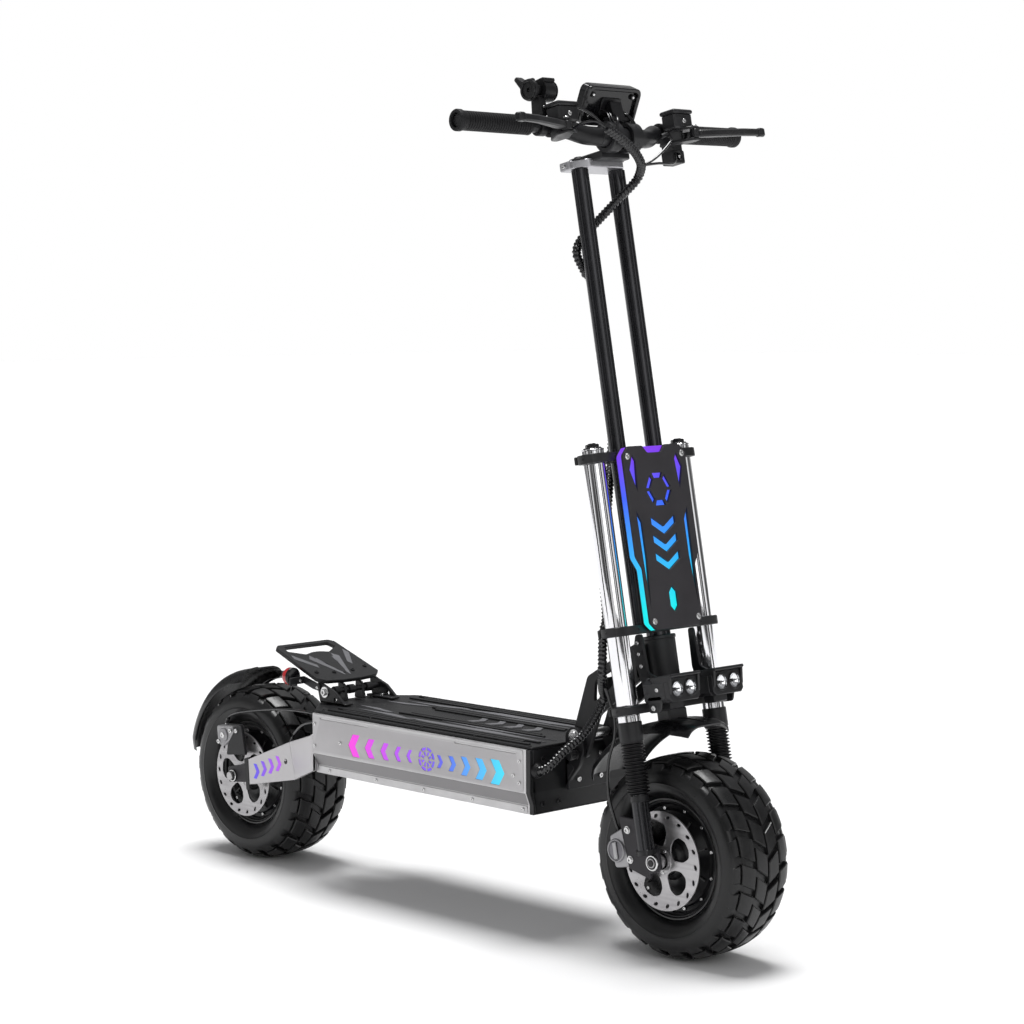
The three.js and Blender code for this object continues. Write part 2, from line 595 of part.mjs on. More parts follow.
function throttleHousing() {
  const clamp = barRod(-1, 146, 160, 16);
  const post = box([26, 44], [-160, -145], [1196, 1228]);
  const drum = rodY(36, 1241, [-173, -123], 18, 16);
  const visor = box([18, 54], [-170, -126], [1246, 1260]);
  const triggerSlot = box([10, 62], [-165, -151], [1222, 1264]);
  const axlePin = rodY(36, 1241, [-168, -148], 3, 8);
  const barBore = barRod(-1, 130, 176, BAR_BORE);
  return join(cut(join(clamp, post, drum, visor), triggerSlot, barBore), axlePin);
}

function throttleTrigger() {
  const blade = plateXZ([[30, 1235], [42, 1235], [44, 1246], [36, 1250], [22, 1256], [4, 1270], [-2, 1266],
    [12, 1248]], [-164.6, -151.4]);
  return cut(blade, rodY(36, 1241, [-170, -140], 3.6, 8));
}

function displayUnit() {
  const screen = plateYZ(roundedBox(62, 33, 12), [-11, 11]);
  const posed = screen.rotate([0, DISPLAY_TILT, 0]).translate([40, 0, 1224]);
  const stay = plateXZ([[49, 1191.5], [66, 1191.5], [62, 1232], [44, 1218]], [-30, 30]);
  return join(posed, stay);
}

function roundedBox(halfWidth, halfHeight, radius) {
  const points = [];
  const corners = [[1, 1, 0], [-1, 1, 90], [-1, -1, 180], [1, -1, 270]];
  for (const [u, v, start] of corners) {
    for (const step of [0, 30, 60, 90]) {
      const angle = THREE.MathUtils.degToRad(start + step);
      const centreU = u * (halfWidth - radius);
      const centreV = v * (halfHeight - radius);
      points.push([centreU + radius * Math.cos(angle), centreV + radius * Math.sin(angle)]);
    }
  }
  return points;
}

function switchBox() {
  const clamp = barRod(1, 146, 166, 15.5);
  const body = box([12, 40], [144, 172], [1134, 1174]);
  const buttonWell = rod([8, 158, 1152], [22, 158, 1152], 6.3, 12);
  return cut(join(clamp, body), barRod(1, 130, 176, BAR_BORE), buttonWell);
}

function hornButton() {
  return rod([8.5, 158, 1152], [19, 158, 1152], 5.8, 12);
}

// Cover plate between the clamps, with two slots down each side that show the light guide behind it.
function frontPanel() {
  const rim = withMirrorU([[50, 366], [62, 378], [62, 466], [74, 486], [74, 650], [60, 664], [26, 664], [16, 652]]);
  const slots = [
    [[-50, 590], [-62, 626], [-52, 650], [-46, 640]],
    [[-58, 480], [-60, 560], [-50, 540], [-50, 480], [-56, 400]],
  ];
  const mirrored = slots.map((points) => points.map(([y, z]) => [-y, z]));
  return plateYZ(rim, [34, 39], [...slots, ...mirrored]);
}

function panelLight() {
  return plateYZ(withMirrorU([[48, 370], [59, 382], [59, 468], [71, 488], [71, 646], [58, 660]]), [22 + GAP, 33.7]);
}

// Twin-lens lamp with its side plate, which hangs from the lower clamp.
function lightPod() {
  const hood = plateXZ([[26, 250], [26, 286], [34, 294], [90, 294], [90, 288], [81, 286], [81, 250]], [-88, -14]);
  const lenses = [-68, -37].map((y) => rod([79, y, 270], [84, y, 270], 12, 16));
  const hanger = plateXZ([[-8, 330], [2, LOWER_CLAMP_HEIGHT - 7.5 - GAP], [16, LOWER_CLAMP_HEIGHT - 7.5 - GAP],
    [20, 300], [40, 290], [40, 256], [8, 256]], [-64, -59]);
  return join(hood, ...lenses, hanger);
}

function frontFender() {
  const tilt = THREE.MathUtils.radToDeg(RAKE);
  const sheet = arcBand(fenderSection(221, 62, 18), -59 + tilt, 10.5 + tilt, 12);
  const boss = box([-14, 14], [-22, 22], [217, CROWN_HEIGHT - 7 - GAP]);
  return join(sheet, boss);
}

// ---------------------------------------------------------------- cables
// The wiring loom, from the handlebar down behind the right fork tube to the side of the neck.
const LOOM_RADIUS = 8;
const LOOM_CLIP = [943, -58, 404]; // where its two lengths meet, in chassis lengths and heights

function loomUpper() {
  const trunk = [[96, -70, 1170], [95, -38, 1154], [88, -4, 1137], [76, 22, 1120], [58, 36, 1108], [44, 36, 1096],
    [26, 18, 1076], [5, 0, 1054], [-14, -16, 1034], [-25, -38, 1012], [-25, -50, 990], [-24, -38, 960],
    [-23, -26, 925], [-24, -24, 720], [-32, -26, 660], [-33, -32, 635], [-34, -76, 480], [-34, -86, 400],
    [-34, -99, 370], [-38, -108, 311],
    [-66, -84, 283], inFork(949, -59, 416), inFork(...LOOM_CLIP)];
  return tube(trunk, LOOM_RADIUS, 46, 8);
}

function loomLower() {
  return tube([[942.6, -58, 403.2], [937, -58, 393], [922, -60, 370], [905, -68, 345], [885, -92, 318],
    [872, -108, 297], [860, -115, 288], [DECK_FRONT + 2.5, -115, 286]], LOOM_RADIUS, 12, 8);
}

function frontBrakeHose() {
  return tube([[-49, -103, 285], [-49, -98, 264], [-45, -95, 234], [-52, -95, 202], [-68, -95, 166],
    [-77, -92, 116], [-80, -82, 70], [-80, -74, 56]], 2.5, 24, 8);
}

function rearBrakeHose() {
  return tube([[-46, -72, 260], [-30, -74, 274], [15, -84, 287], [105, -96, 303], [184, -109, 313],
    [255, -120, 318], [DECK_REAR - 1, -121, 317]], 2.5, 28, 8);
}

function rearMotorCable() {
  return tube([[16, -80, 171], [40, -81, 184], [110, -82, 216], [150, -82, 236], [170, -84, 257], [192, -96, 270],
    [232, -108, 291], [DECK_REAR - 1.5, -116, 304]], 3, 26, 8);
}

// ---------------------------------------------------------------- assembly
const scooter = new THREE.Group();
scooter.name = "electric_kick_scooter";

const chassis = new THREE.Group();
chassis.position.x = REAR_AXLE_X;
scooter.add(chassis);

const rearWheel = new THREE.Group();
rearWheel.position.z = WHEEL_RADIUS;
chassis.add(rearWheel);

const frontWheel = new THREE.Group();
frontWheel.position.set(WHEELBASE, 0, WHEEL_RADIUS);
chassis.add(frontWheel);

const fork = new THREE.Group();
fork.position.copy(frontWheel.position);
fork.rotation.y = -RAKE;
chassis.add(fork);

addPart(chassis, "chassis_tray", chassisTray(), blackMetal());
addPart(chassis, "side_plate_right", sidePlate(), silver());
addPart(chassis, "side_plate_left", mirrorY(sidePlate()), silver());
addPart(chassis, "rear_arm_right", rearArm(), silver());
addPart(chassis, "rear_arm_left", mirrorY(rearArm()), silver());
addPart(chassis, "deck_board", deckBoard(), rubber());
addPart(chassis, "battery_pack", batteryPack(), blackPlastic());
addPart(chassis, "neck_base", neckBase(), blackMetal());
addPart(chassis, "footrest", footrest(), blackMetal());
addPart(chassis, "footrest_frame", footrestFrame(), greyMetal());
addPart(chassis, "tail_light", tailLight(), blackPlastic());
addPart(chassis, "rear_fender", rearFender(), blackPlastic());
addPart(chassis, "rear_axle", rearAxle(), silver());
addPart(chassis, "rear_caliper", rearCaliper(), greyMetal());
addPart(chassis, "rear_brake_hose", rearBrakeHose(), cable());
addPart(chassis, "rear_motor_cable", rearMotorCable(), cable());
addPart(chassis, "kickstand_leg", kickstandLeg(), blackMetal());
addPart(chassis, "fold_latch", foldLatch(), silver());
addPart(chassis, "loom_lower", loomLower(), cable());

for (const [place, wheel] of [["rear", rearWheel], ["front", frontWheel]]) {
  addPart(wheel, `${place}_tyre`, tyre(), rubber());
  addPart(wheel, `${place}_hub_motor`, hubMotor(), blackMetal());
  addPart(wheel, `${place}_brake_disc`, brakeDisc(), silver());
}

addPart(fork, "head_bracket", headBracket(), blackMetal());
addPart(fork, "fork_crown", forkCrown(), blackMetal());
addPart(fork, "lower_clamp", lowerClamp(), blackMetal());
addPart(fork, "upper_clamp", upperClamp(), blackMetal());
addPart(fork, "top_bridge", topBridge(), silver());
addPart(fork, "handlebar", handlebar(), blackMetal());
addPart(fork, "throttle_housing", throttleHousing(), blackPlastic());
addPart(fork, "throttle_trigger", throttleTrigger(), blackPlastic());
addPart(fork, "display", displayUnit(), blackPlastic());
addPart(fork, "switch_box", switchBox(), blackPlastic());
addPart(fork, "horn_button", hornButton(), material(0xb02020, 0.5, 0));
addPart(fork, "front_panel", frontPanel(), greyMetal());
addPart(fork, "panel_light", panelLight(), material(0x5fd8f0, 0.3, 0));
addPart(fork, "front_fender", frontFender(), blackPlastic());
addPart(fork, "front_axle", frontAxle(), silver());
addPart(fork, "front_caliper", frontCaliper(), greyMetal());
addPart(fork, "loom_upper", loomUpper(), cable());
addPart(fork, "front_brake_hose", frontBrakeHose(), cable());

const paired = [
  ["fork_tube", forkTube, chrome],
  ["fork_slider", forkSlider, greyMetal],
  ["bellows", bellows, rubber],
  ["stem_tube", stemTube, chrome],
  ["light_pod", lightPod, blackMetal],
  ["brake_perch", brakePerch, blackMetal],
  ["brake_lever", brakeLever, greyMetal],
  ["grip", () => grip(-1), rubber],
];
for (const [name, make, look] of paired) {
  addPart(fork, `${name}_right`, make(), look());
  addPart(fork, `${name}_left`, mirrorY(make()), look());
}

export default scooter;
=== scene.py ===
"""Looks of an electric kick scooter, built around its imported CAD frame.

Shapes are drawn in millimetres in the frame of the part they belong to: DECK runs from the rear axle
forwards with heights from the floor, REAR and FRONT are centred on the axles, and FORK has its origin on
the front axle with its z up the raked fork.
"""
import math

import bmesh
import bpy
from mathutils import Matrix, Vector, geometry


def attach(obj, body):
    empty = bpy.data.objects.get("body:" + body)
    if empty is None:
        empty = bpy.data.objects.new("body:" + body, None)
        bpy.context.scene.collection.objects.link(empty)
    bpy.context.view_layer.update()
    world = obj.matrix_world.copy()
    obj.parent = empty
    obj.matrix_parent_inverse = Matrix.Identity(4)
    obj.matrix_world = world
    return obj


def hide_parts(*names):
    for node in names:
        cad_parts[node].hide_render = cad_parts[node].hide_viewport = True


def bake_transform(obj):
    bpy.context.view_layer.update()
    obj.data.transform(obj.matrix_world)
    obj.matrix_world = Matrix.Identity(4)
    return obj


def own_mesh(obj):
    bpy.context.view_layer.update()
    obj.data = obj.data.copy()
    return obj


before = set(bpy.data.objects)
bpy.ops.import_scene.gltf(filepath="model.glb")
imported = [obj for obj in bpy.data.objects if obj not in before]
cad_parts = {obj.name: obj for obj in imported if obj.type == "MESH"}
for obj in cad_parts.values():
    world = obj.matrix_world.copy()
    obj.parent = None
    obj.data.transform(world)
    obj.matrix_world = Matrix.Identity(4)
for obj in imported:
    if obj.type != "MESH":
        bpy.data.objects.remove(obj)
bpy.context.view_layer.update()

MM = 0.001
RAKE = math.radians(-10.6)
REAR_AXLE = Vector((-0.5292, 0, 0.165))
FRONT_AXLE = Vector((0.5568, 0, 0.165))
PLANES = {
    "x": lambda u, v, w: (w, u, v),
    "y": lambda u, v, w: (u, w, v),
    "z": lambda u, v, w: (u, v, w),
}
SIDES = {"right": -1, "left": 1}


def placed(origin, turn=0.0):
    """Frame in millimetres at origin, turned about Y."""
    return Matrix.Translation(origin) @ Matrix.Rotation(turn, 4, "Y") @ Matrix.Scale(MM, 4)


DECK = placed((REAR_AXLE.x, 0, 0))
REAR = placed(REAR_AXLE)
FRONT = placed(FRONT_AXLE)
FORK = placed(FRONT_AXLE, RAKE)


# ---------------------------------------------------------------- outlines
def wound(loop, anticlockwise):
    area = sum(a.cross(b) for a, b in zip(loop, loop[1:] + loop[:1]))
    return loop if (area > 0) == anticlockwise else loop[::-1]


def inset(loop, amount):
    """A closed outline moved to its left by amount: inwards when it runs anticlockwise."""
    moved = []
    for before, here, after in zip(loop[-1:] + loop[:-1], loop, loop[1:] + loop[:1]):
        first = (here - before).normalized()
        second = (after - here).normalized()
        normals = Vector((-first.y, first.x)), Vector((-second.y, second.x))
        middle = (normals[0] + normals[1]).normalized()
        moved.append(here + middle * amount / max(0.5, middle.dot(normals[0])))
    return moved


def eased(points, size, steps=1, closed=True):
    """An outline with its corners cut (one step) or rounded (more steps)."""
    points = [Vector(p) for p in points]
    out = []
    for i, here in enumerate(points):
        if not closed and i in (0, len(points) - 1):
            out.append(here)
            continue
        before, after = points[i - 1], points[(i + 1) % len(points)]
        start = here + (before - here).normalized() * min(size, 0.45 * (before - here).length)
        end = here + (after - here).normalized() * min(size, 0.45 * (after - here).length)
        for k in range(steps + 1):
            t = k / steps
            out.append(start * (1 - t) ** 2 + here * 2 * t * (1 - t) + end * t * t)
    return out


def polar(radius, angle, centre=(0, 0)):
    return centre[0] + radius * math.cos(angle), centre[1] + radius * math.sin(angle)


def ring(radius, count, centre=(0, 0), start=0.0, squeeze=1.0):
    turns = [start + 2 * math.pi * k / count for k in range(count)]
    return [(centre[0] + radius * math.cos(t), centre[1] + radius * squeeze * math.sin(t)) for t in turns]


def across(points):
    """An outline closed by its mirror image in the second coordinate."""
    return [*points, *[(u, -v) for u, v in reversed(points)]]


def beside(points):
    """An outline closed by its mirror image in the first coordinate."""
    return [*points, *[(-u, v) for u, v in reversed(points)]]


def flipped(points):
    return [(-u, v) for u, v in points]


def rectangle(lo, hi):
    return [(lo[0], lo[1]), (hi[0], lo[1]), (hi[0], hi[1]), (lo[0], hi[1])]


def chevron(centre, half, width, direction):
    """Arrow-shaped stripe that points along the first coordinate."""
    u, v = centre
    reach = half * 0.62 * direction
    step = width * direction
    return [(u - reach, v - half), (u, v), (u - reach, v + half), (u - reach - step, v + half),
            (u - step, v), (u - reach - step, v - half)]


def facing(point, direction, upward=(0, 0, 1)):
    """Local frame at point whose z runs along direction."""
    z = Vector(direction).normalized()
    x = Vector(upward).cross(z)
    if x.length < 1e-4:
        x = Vector((0, 1, 0))
    x.normalize()
    matrix = Matrix((x, z.cross(x), z)).transposed().to_4x4()
    matrix.translation = Vector(point)
    return matrix


def smooth_path(points, step):
    """Catmull-Rom curve through the points, sampled at even steps."""
    points = [Vector(p) for p in points]
    ends = [2 * points[0] - points[1], *points, 2 * points[-1] - points[-2]]
    dense = []
    for p0, p1, p2, p3 in zip(ends, ends[1:], ends[2:], ends[3:]):
        for k in range(24):
            t = k / 24
            dense.append(0.5 * (2 * p1 + (p2 - p0) * t + (2 * p0 - 5 * p1 + 4 * p2 - p3) * t * t
                                + (3 * p1 - p0 - 3 * p2 + p3) * t ** 3))
    dense.append(points[-1])
    out, travelled, due = [dense[0]], 0.0, step
    for a, b in zip(dense, dense[1:]):
        length = (b - a).length
        while travelled + length >= due:
            out.append(a.lerp(b, (due - travelled) / length))
            due += step
        travelled += length
    if (out[-1] - dense[-1]).length > 0.3 * step:
        out.append(dense[-1])
    else:
        out[-1] = dense[-1]
    return out


# ---------------------------------------------------------------- pieces
class Piece:
    """One visual piece: closed shells in millimetres, each with its own material."""

    def __init__(self, name, body, at, slot, *stands_for):
        self.name, self.body, self.at, self.slot, self.stands_for = name, body, at, slot, stands_for
        self.verts, self.faces, self.marks, self.palette = [], [], [], []

    def shell(self, verts, faces, mat, local=None):
        place = self.at @ local if local else self.at
        base = len(self.verts)
        self.verts += [place @ Vector(v) for v in verts]
        self.faces += [[base + i for i in face] for face in faces]
        if mat not in self.palette:
            self.palette.append(mat)
        self.marks += [self.palette.index(mat)] * len(faces)

    def plate(self, outlines, axis, lo, hi, mat, bevel=0.8, local=None):
        """Sheet with holes and chamfered edges, between lo and hi along axis in either order."""
        lo, hi = sorted((lo, hi))
        loops = [wound([Vector(p) for p in o], k == 0) for k, o in enumerate(outlines)]
        small = [inset(loop, bevel) for loop in loops]
        levels = [(small, lo), (loops, lo + bevel), (loops, hi - bevel), (small, hi)]
        verts = [PLANES[axis](p.x, p.y, w) for group, w in levels for loop in group for p in loop]
        layer = sum(map(len, loops))
        faces = []
        for level in range(3):
            start = level * layer
            for loop in loops:
                count = len(loop)
                for i in range(count):
                    j = (i + 1) % count
                    faces.append((start + i, start + j, start + layer + j, start + layer + i))
                start += count
        caps = geometry.tessellate_polygon([[Vector((p.x, p.y, 0)) for p in loop] for loop in small])
        faces += [tuple(cap) for cap in caps]
        faces += [tuple(i + 3 * layer for i in cap) for cap in caps]
        self.shell(verts, faces, mat, local)

    def block(self, lo, hi, mat, bevel=1.0, local=None):
        """Box between two opposite corners, with its upright edges cut."""
        lo, hi = zip(*map(sorted, zip(lo, hi)))
        outline = eased(rectangle(lo[:2], hi[:2]), bevel)
        self.plate([outline], "z", lo[2], hi[2], mat, min(bevel, 0.4 * (hi[2] - lo[2])), local)

    def turned(self, profile, axis, mat, centre=(0, 0, 0), steps=40, local=None, facets=()):
        """Turned shape from (radius, distance) points; facets are profile points drawn as a hexagon."""
        profile = [tuple(p) for p in profile]
        closed = profile[0][0] > 0
        verts, rows = [], []
        for k, (radius, along) in enumerate(profile):
            rows.append(len(verts))
            for s in range(1 if radius == 0 else steps):
                a = 2 * math.pi * s / steps
                r = radius
                if k in facets:
                    r *= math.cos(math.pi / 6) / math.cos((a % (math.pi / 3)) - math.pi / 6)
                point = PLANES[axis](r * math.cos(a), r * math.sin(a), along)
                verts.append([c + p for c, p in zip(centre, point)])
        faces = []
        count = len(profile)
        for k in range(count if closed else count - 1):
            low, high = rows[k], rows[(k + 1) % count]
            low_pole, high_pole = profile[k][0] == 0, profile[(k + 1) % count][0] == 0
            if low_pole and high_pole:
                continue
            for s in range(steps):
                t = (s + 1) % steps
                if low_pole:
                    faces.append((low, high + s, high + t))
                elif high_pole:
                    faces.append((low + s, low + t, high))
                else:
                    faces.append((low + s, low + t, high + t, high + s))
        self.shell(verts, faces, mat, local)

    def disc(self, radius, lo, hi, axis, mat, centre=(0, 0, 0), bevel=0.6, steps=40, local=None):
        lo, hi = sorted((lo, hi))
        profile = eased(rectangle((0, lo), (radius, hi)), bevel, 1, False)
        self.turned(profile, axis, mat, centre, steps, local)

    def band(self, inner, outer, lo, hi, axis, mat, centre=(0, 0, 0), bevel=0.6, steps=40, local=None):
        lo, hi = sorted((lo, hi))
        profile = eased(rectangle((inner, lo), (outer, hi)), bevel)
        self.turned(profile, axis, mat, centre, steps, local)

    def rod(self, start, end, radius, mat, bevel=0.6, steps=24):
        start, end = Vector(start), Vector(end)
        self.disc(radius, 0, (end - start).length, "z", mat, bevel=bevel, steps=steps,
                  local=facing(start, end - start))

    def bolt(self, at, direction, radius, mat, height=None, washer=0.0, washer_mat=None):
        """Socket-head bolt standing on a surface at a point."""
        height = height or radius * 0.8
        local = facing(at, direction)
        if washer:
            self.disc(washer, -0.4, 1.2, "z", washer_mat or mat, bevel=0.4, steps=20, local=local)
        key, depth, edge = radius * 0.55, height * 0.45, radius * 0.16
        head = [(0, height - depth), (key, height - depth), (key, height), (radius - edge, height),
                (radius, height - edge), (radius, -0.4), (0, -0.4)]
        self.turned(head, "z", mat, steps=18, local=local, facets=(1, 2))

    def nut(self, at, direction, radius, height, mat, washer=0.0):
        local = facing(at, direction)
        hole = radius * 0.62
        hexed = [(0, -0.4), (radius, -0.4), (radius, height - 1), (radius - 1.2, height), (hole, height),
                 (hole, height - 1.5), (0, height - 1.5)]
        self.turned(hexed, "z", mat, steps=24, local=local, facets=(1, 2))
        self.disc(radius * 0.55, height - 2.5, height + 1.6, "z", mat, bevel=0.5, steps=20, local=local)
        if washer:
            self.disc(washer, -0.6, 1.6, "z", mat, bevel=0.5, steps=28, local=local)

    def tube(self, points, radius, mat, step=3.0, sides=12, radius_at=None):
        """Closed tube along a smooth path; radius_at(distance, angle) shapes its surface."""
        path = smooth_path(points, step)
        tangents = [(b - a).normalized() for a, b in zip(path, path[1:])]
        tangents.append(tangents[-1])
        side = tangents[0].orthogonal().normalized()
        verts = []
        for k, (centre, tangent) in enumerate(zip(path, tangents)):
            side = (side - tangent * side.dot(tangent)).normalized()
            other = tangent.cross(side)
            for s in range(sides):
                a = 2 * math.pi * s / sides
                r = radius_at(k * step, a) if radius_at else radius
                verts.append(centre + side * r * math.cos(a) + other * r * math.sin(a))
        faces = []
        for k in range(len(path) - 1):
            for s in range(sides):
                t = (s + 1) % sides
                faces.append((k * sides + s, k * sides + t, (k + 1) * sides + t, (k + 1) * sides + s))
        faces.append(tuple(range(sides)))
        faces.append(tuple(range(len(verts) - sides, len(verts))))
        self.shell(verts, faces, mat)

    def swept(self, section, start, end, steps, mat, taper=0.0):
        """Section of (y, radius) points swept about Y between two angles from straight up, in degrees."""
        verts = []
        for k in range(steps + 1):
            share = k / steps
            a = math.radians(start + (end - start) * share)
            narrow = 1 - taper * max(0, abs(2 * share - 1) - 0.8) * 5
            verts += [(r * math.sin(a), y * narrow, r * math.cos(a)) for y, r in section]
        count = len(section)
        faces = []
        for k in range(steps):
            for s in range(count):
                t = (s + 1) % count
                faces.append((k * count + s, k * count + t, (k + 1) * count + t, (k + 1) * count + s))
        caps = geometry.tessellate_polygon([[Vector((y, r, 0)) for y, r in section]])
        faces += [tuple(cap) for cap in caps]
        faces += [tuple(i + steps * count for i in cap) for cap in caps]
        self.shell(verts, faces, mat)

    def solid(self, corners, mat, bevel=0.6):
        """Six-sided solid from its eight corners, lower four then upper four, with chamfered edges."""
        bm = bmesh.new()
        corner = [bm.verts.new(c) for c in corners]
        for face in ((0, 1, 2, 3), (4, 5, 6, 7), (0, 1, 5, 4), (1, 2, 6, 5), (2, 3, 7, 6), (3, 0, 4, 7)):
            bm.faces.new([corner[i] for i in face])
        bmesh.ops.recalc_face_normals(bm, faces=bm.faces)
        bmesh.ops.bevel(bm, geom=bm.edges[:], offset=bevel, segments=1, affect="EDGES")
        bm.verts.index_update()
        self.shell([v.co.copy() for v in bm.verts], [[v.index for v in f.verts] for f in bm.faces], mat)
        bm.free()

    def build(self, ride=True):
        mesh = bpy.data.meshes.new(self.name)
        mesh.from_pydata([tuple(v) for v in self.verts], [], self.faces)
        mesh.polygons.foreach_set("material_index", self.marks)
        mesh.polygons.foreach_set("use_smooth", [True] * len(self.faces))
        bm = bmesh.new()
        bm.from_mesh(mesh)
        bmesh.ops.recalc_face_normals(bm, faces=bm.faces)
        bm.to_mesh(mesh)
        bm.free()
        mesh.set_sharp_from_angle(angle=math.radians(33))
        for mat in self.palette:
            mesh.materials.append(mat)
        piece = bpy.data.objects.new(self.name, mesh)
        link(piece)
        if ride:
            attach(piece, self.body)
        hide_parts(*self.stands_for)
        return piece


# ---------------------------------------------------------------- materials
def link(thing):
    bpy.context.scene.collection.objects.link(thing)


def node(tree, kind, inputs=None, **settings):
    made = tree.nodes.new("ShaderNode" + kind)
    for key, value in settings.items():
        setattr(made, key, value)
    for key, value in (inputs or {}).items():
        if isinstance(value, bpy.types.NodeSocket):
            tree.links.new(value, made.inputs[key])
        else:
            made.inputs[key].default_value = value
    return made


def ramp(tree, factor, stops):
    made = node(tree, "ValToRGB", {"Fac": factor})
    elements = made.color_ramp.elements
    while len(elements) < len(stops):
        elements.new(0.5)
    for element, (position, colour) in zip(elements, stops):
        element.position = position
        element.color = (*colour, 1)
    return made.outputs["Color"]


def tinted(colour, factor):
    return tuple(min(1.0, c * factor) for c in colour)


def surface(name, colour, rough, metallic=0.0, grain=900, stretch=(1, 1, 1), spread=0.2, relief=0.15,
            depth=0.0003, coat=0.0, wear=None, patches=14, shine=0.5):
    """Painted, moulded or machined surface: colour variation, grain, uneven gloss and worn edges."""
    mat = bpy.data.materials.new(name)
    mat.use_nodes = True
    tree = mat.node_tree
    shader = tree.nodes["Principled BSDF"]
    shader.inputs["Metallic"].default_value = metallic
    shader.inputs["Coat Weight"].default_value = coat
    shader.inputs["Coat Roughness"].default_value = 0.1
    shader.inputs["Specular IOR Level"].default_value = shine
    place = node(tree, "TexCoord").outputs["Object"]
    drawn = node(tree, "Mapping", {"Vector": place, "Scale": stretch}).outputs["Vector"]
    fine = node(tree, "TexNoise", {"Vector": drawn, "Scale": grain, "Detail": 4.0}).outputs["Fac"]
    wide = node(tree, "TexNoise", {"Vector": place, "Scale": patches, "Detail": 5.0}).outputs["Fac"]
    blend = node(tree, "Math", {0: fine, 1: 0.45, 2: wide}, operation="MULTIPLY_ADD").outputs[0]
    paint = ramp(tree, blend, [(0.45, tinted(colour, 1 - spread)), (1.0, tinted(colour, 1 + spread))])
    if wear:
        point = node(tree, "NewGeometry").outputs["Pointiness"]
        edge = ramp(tree, point, [(0.515, (0, 0, 0)), (0.6, (1, 1, 1))])
        share = node(tree, "Math", {0: edge, 1: wide}, operation="MULTIPLY").outputs[0]
        paint = node(tree, "MixRGB", {"Fac": share, "Color1": paint, "Color2": (*wear, 1)}).outputs["Color"]
    tree.links.new(paint, shader.inputs["Base Color"])
    gloss = node(tree, "MapRange", {"Value": blend, "From Min": 0.4, "From Max": 1.1, "To Min": rough * 0.8,
                                    "To Max": rough * 1.25}).outputs["Result"]
    tree.links.new(gloss, shader.inputs["Roughness"])
    bump = node(tree, "Bump", {"Height": fine, "Strength": relief, "Distance": depth}).outputs["Normal"]
    tree.links.new(bump, shader.inputs["Normal"])
    return mat


def lit(name, direction, start, end, stops, strength):
    """Glowing light guide whose colour runs along a direction, given in metres in the row frame."""
    mat = surface(name, (0.03, 0.03, 0.05), 0.35, grain=300, relief=0.05, shine=0.2)
    tree = mat.node_tree
    shader = tree.nodes["Principled BSDF"]
    place = node(tree, "TexCoord").outputs["Object"]
    along = node(tree, "VectorMath", {0: place, 1: direction}, operation="DOT_PRODUCT").outputs["Value"]
    share = node(tree, "MapRange", {"Value": along, "From Min": start, "From Max": end}).outputs["Result"]
    tree.links.new(ramp(tree, share, stops), shader.inputs["Emission Color"])
    shader.inputs["Emission Strength"].default_value = strength
    return mat


SILVER = surface("silver_brushed", (0.42, 0.41, 0.42), 0.36, 0.85, 160, (1, 1, 14), 0.07, 0.10, 0.0002,
                 wear=(0.75, 0.75, 0.75))
# Darker copy of the brushed silver: painted shade for the side panels' bend, which faces down.
SILVER_FOLD_SHADE = surface("silver_fold_painted_shade", (0.24, 0.235, 0.24), 0.4, 0.8, 160, (1, 1, 14), 0.08, 0.10, 0.0002)
ARM_SILVER = surface("arm_silver", (0.50, 0.49, 0.50), 0.34, 0.85, 140, (9, 1, 9), 0.07, 0.1, 0.0002)
BRIDGE = surface("machined_grey", (0.36, 0.36, 0.38), 0.34, 0.85, 180, (1, 8, 1), 0.1, 0.1,
                 wear=(0.7, 0.7, 0.72))
BLACK = surface("black_satin", (0.007, 0.007, 0.008), 0.34, 0.0, 1300, spread=0.4, relief=0.2,
                wear=(0.03, 0.03, 0.032), shine=0.35)
BLACK_METAL = surface("black_powdercoat", (0.006, 0.006, 0.007), 0.4, 0.0, 1500, spread=0.4, relief=0.35,
                      wear=(0.03, 0.03, 0.032), shine=0.32)
GLOSS_BLACK = surface("black_anodised", (0.030, 0.030, 0.033), 0.12, 0.6, 500, (1, 1, 0.2), 0.3, 0.04,
                      shine=0.5)
CHROME = surface("chrome_plate", (0.86, 0.86, 0.88), 0.09, 1.0, 60, (1, 1, 4), 0.04, 0.002, 0.0001)
STEEL = surface("disc_steel", (0.30, 0.29, 0.30), 0.3, 0.9, 420, (1, 0.2, 1), 0.12, 0.2, 0.0002,
                wear=(0.75, 0.75, 0.75))
ZINC = surface("zinc_bolt", (0.66, 0.66, 0.66), 0.24, 0.95, 900, spread=0.12, relief=0.12)
PANEL = surface("panel_grey", (0.032, 0.030, 0.034), 0.45, 0.1, 1600, spread=0.2, relief=0.3, shine=0.3)
CALIPER = surface("caliper_grey", (0.18, 0.175, 0.19), 0.38, 0.8, 800, spread=0.2, relief=0.25,
                  wear=(0.6, 0.6, 0.6))
PLASTIC = surface("black_plastic", (0.008, 0.008, 0.009), 0.42, 0.0, 1800, spread=0.35, relief=0.35,
                  shine=0.35)
FENDER = surface("fender_plastic", (0.007, 0.007, 0.008), 0.28, 0.0, 1200, spread=0.3, relief=0.1,
                 shine=0.45)
GLOSSY = surface("gloss_plastic", (0.006, 0.006, 0.007), 0.16, 0.0, 700, spread=0.3, relief=0.04, shine=0.5)
GRIP = surface("grip_rubber", (0.008, 0.008, 0.009), 0.6, 0.0, 1500, spread=0.35, relief=0.5, shine=0.3)
MAT = surface("deck_rubber", (0.008, 0.008, 0.009), 0.45, 0.0, 2200, spread=0.4, relief=0.6, patches=30,
              shine=0.3)
STRIPE = surface("stripe_grey", (0.15, 0.15, 0.16), 0.5, 0.0, 2000, spread=0.2, relief=0.5, shine=0.3)
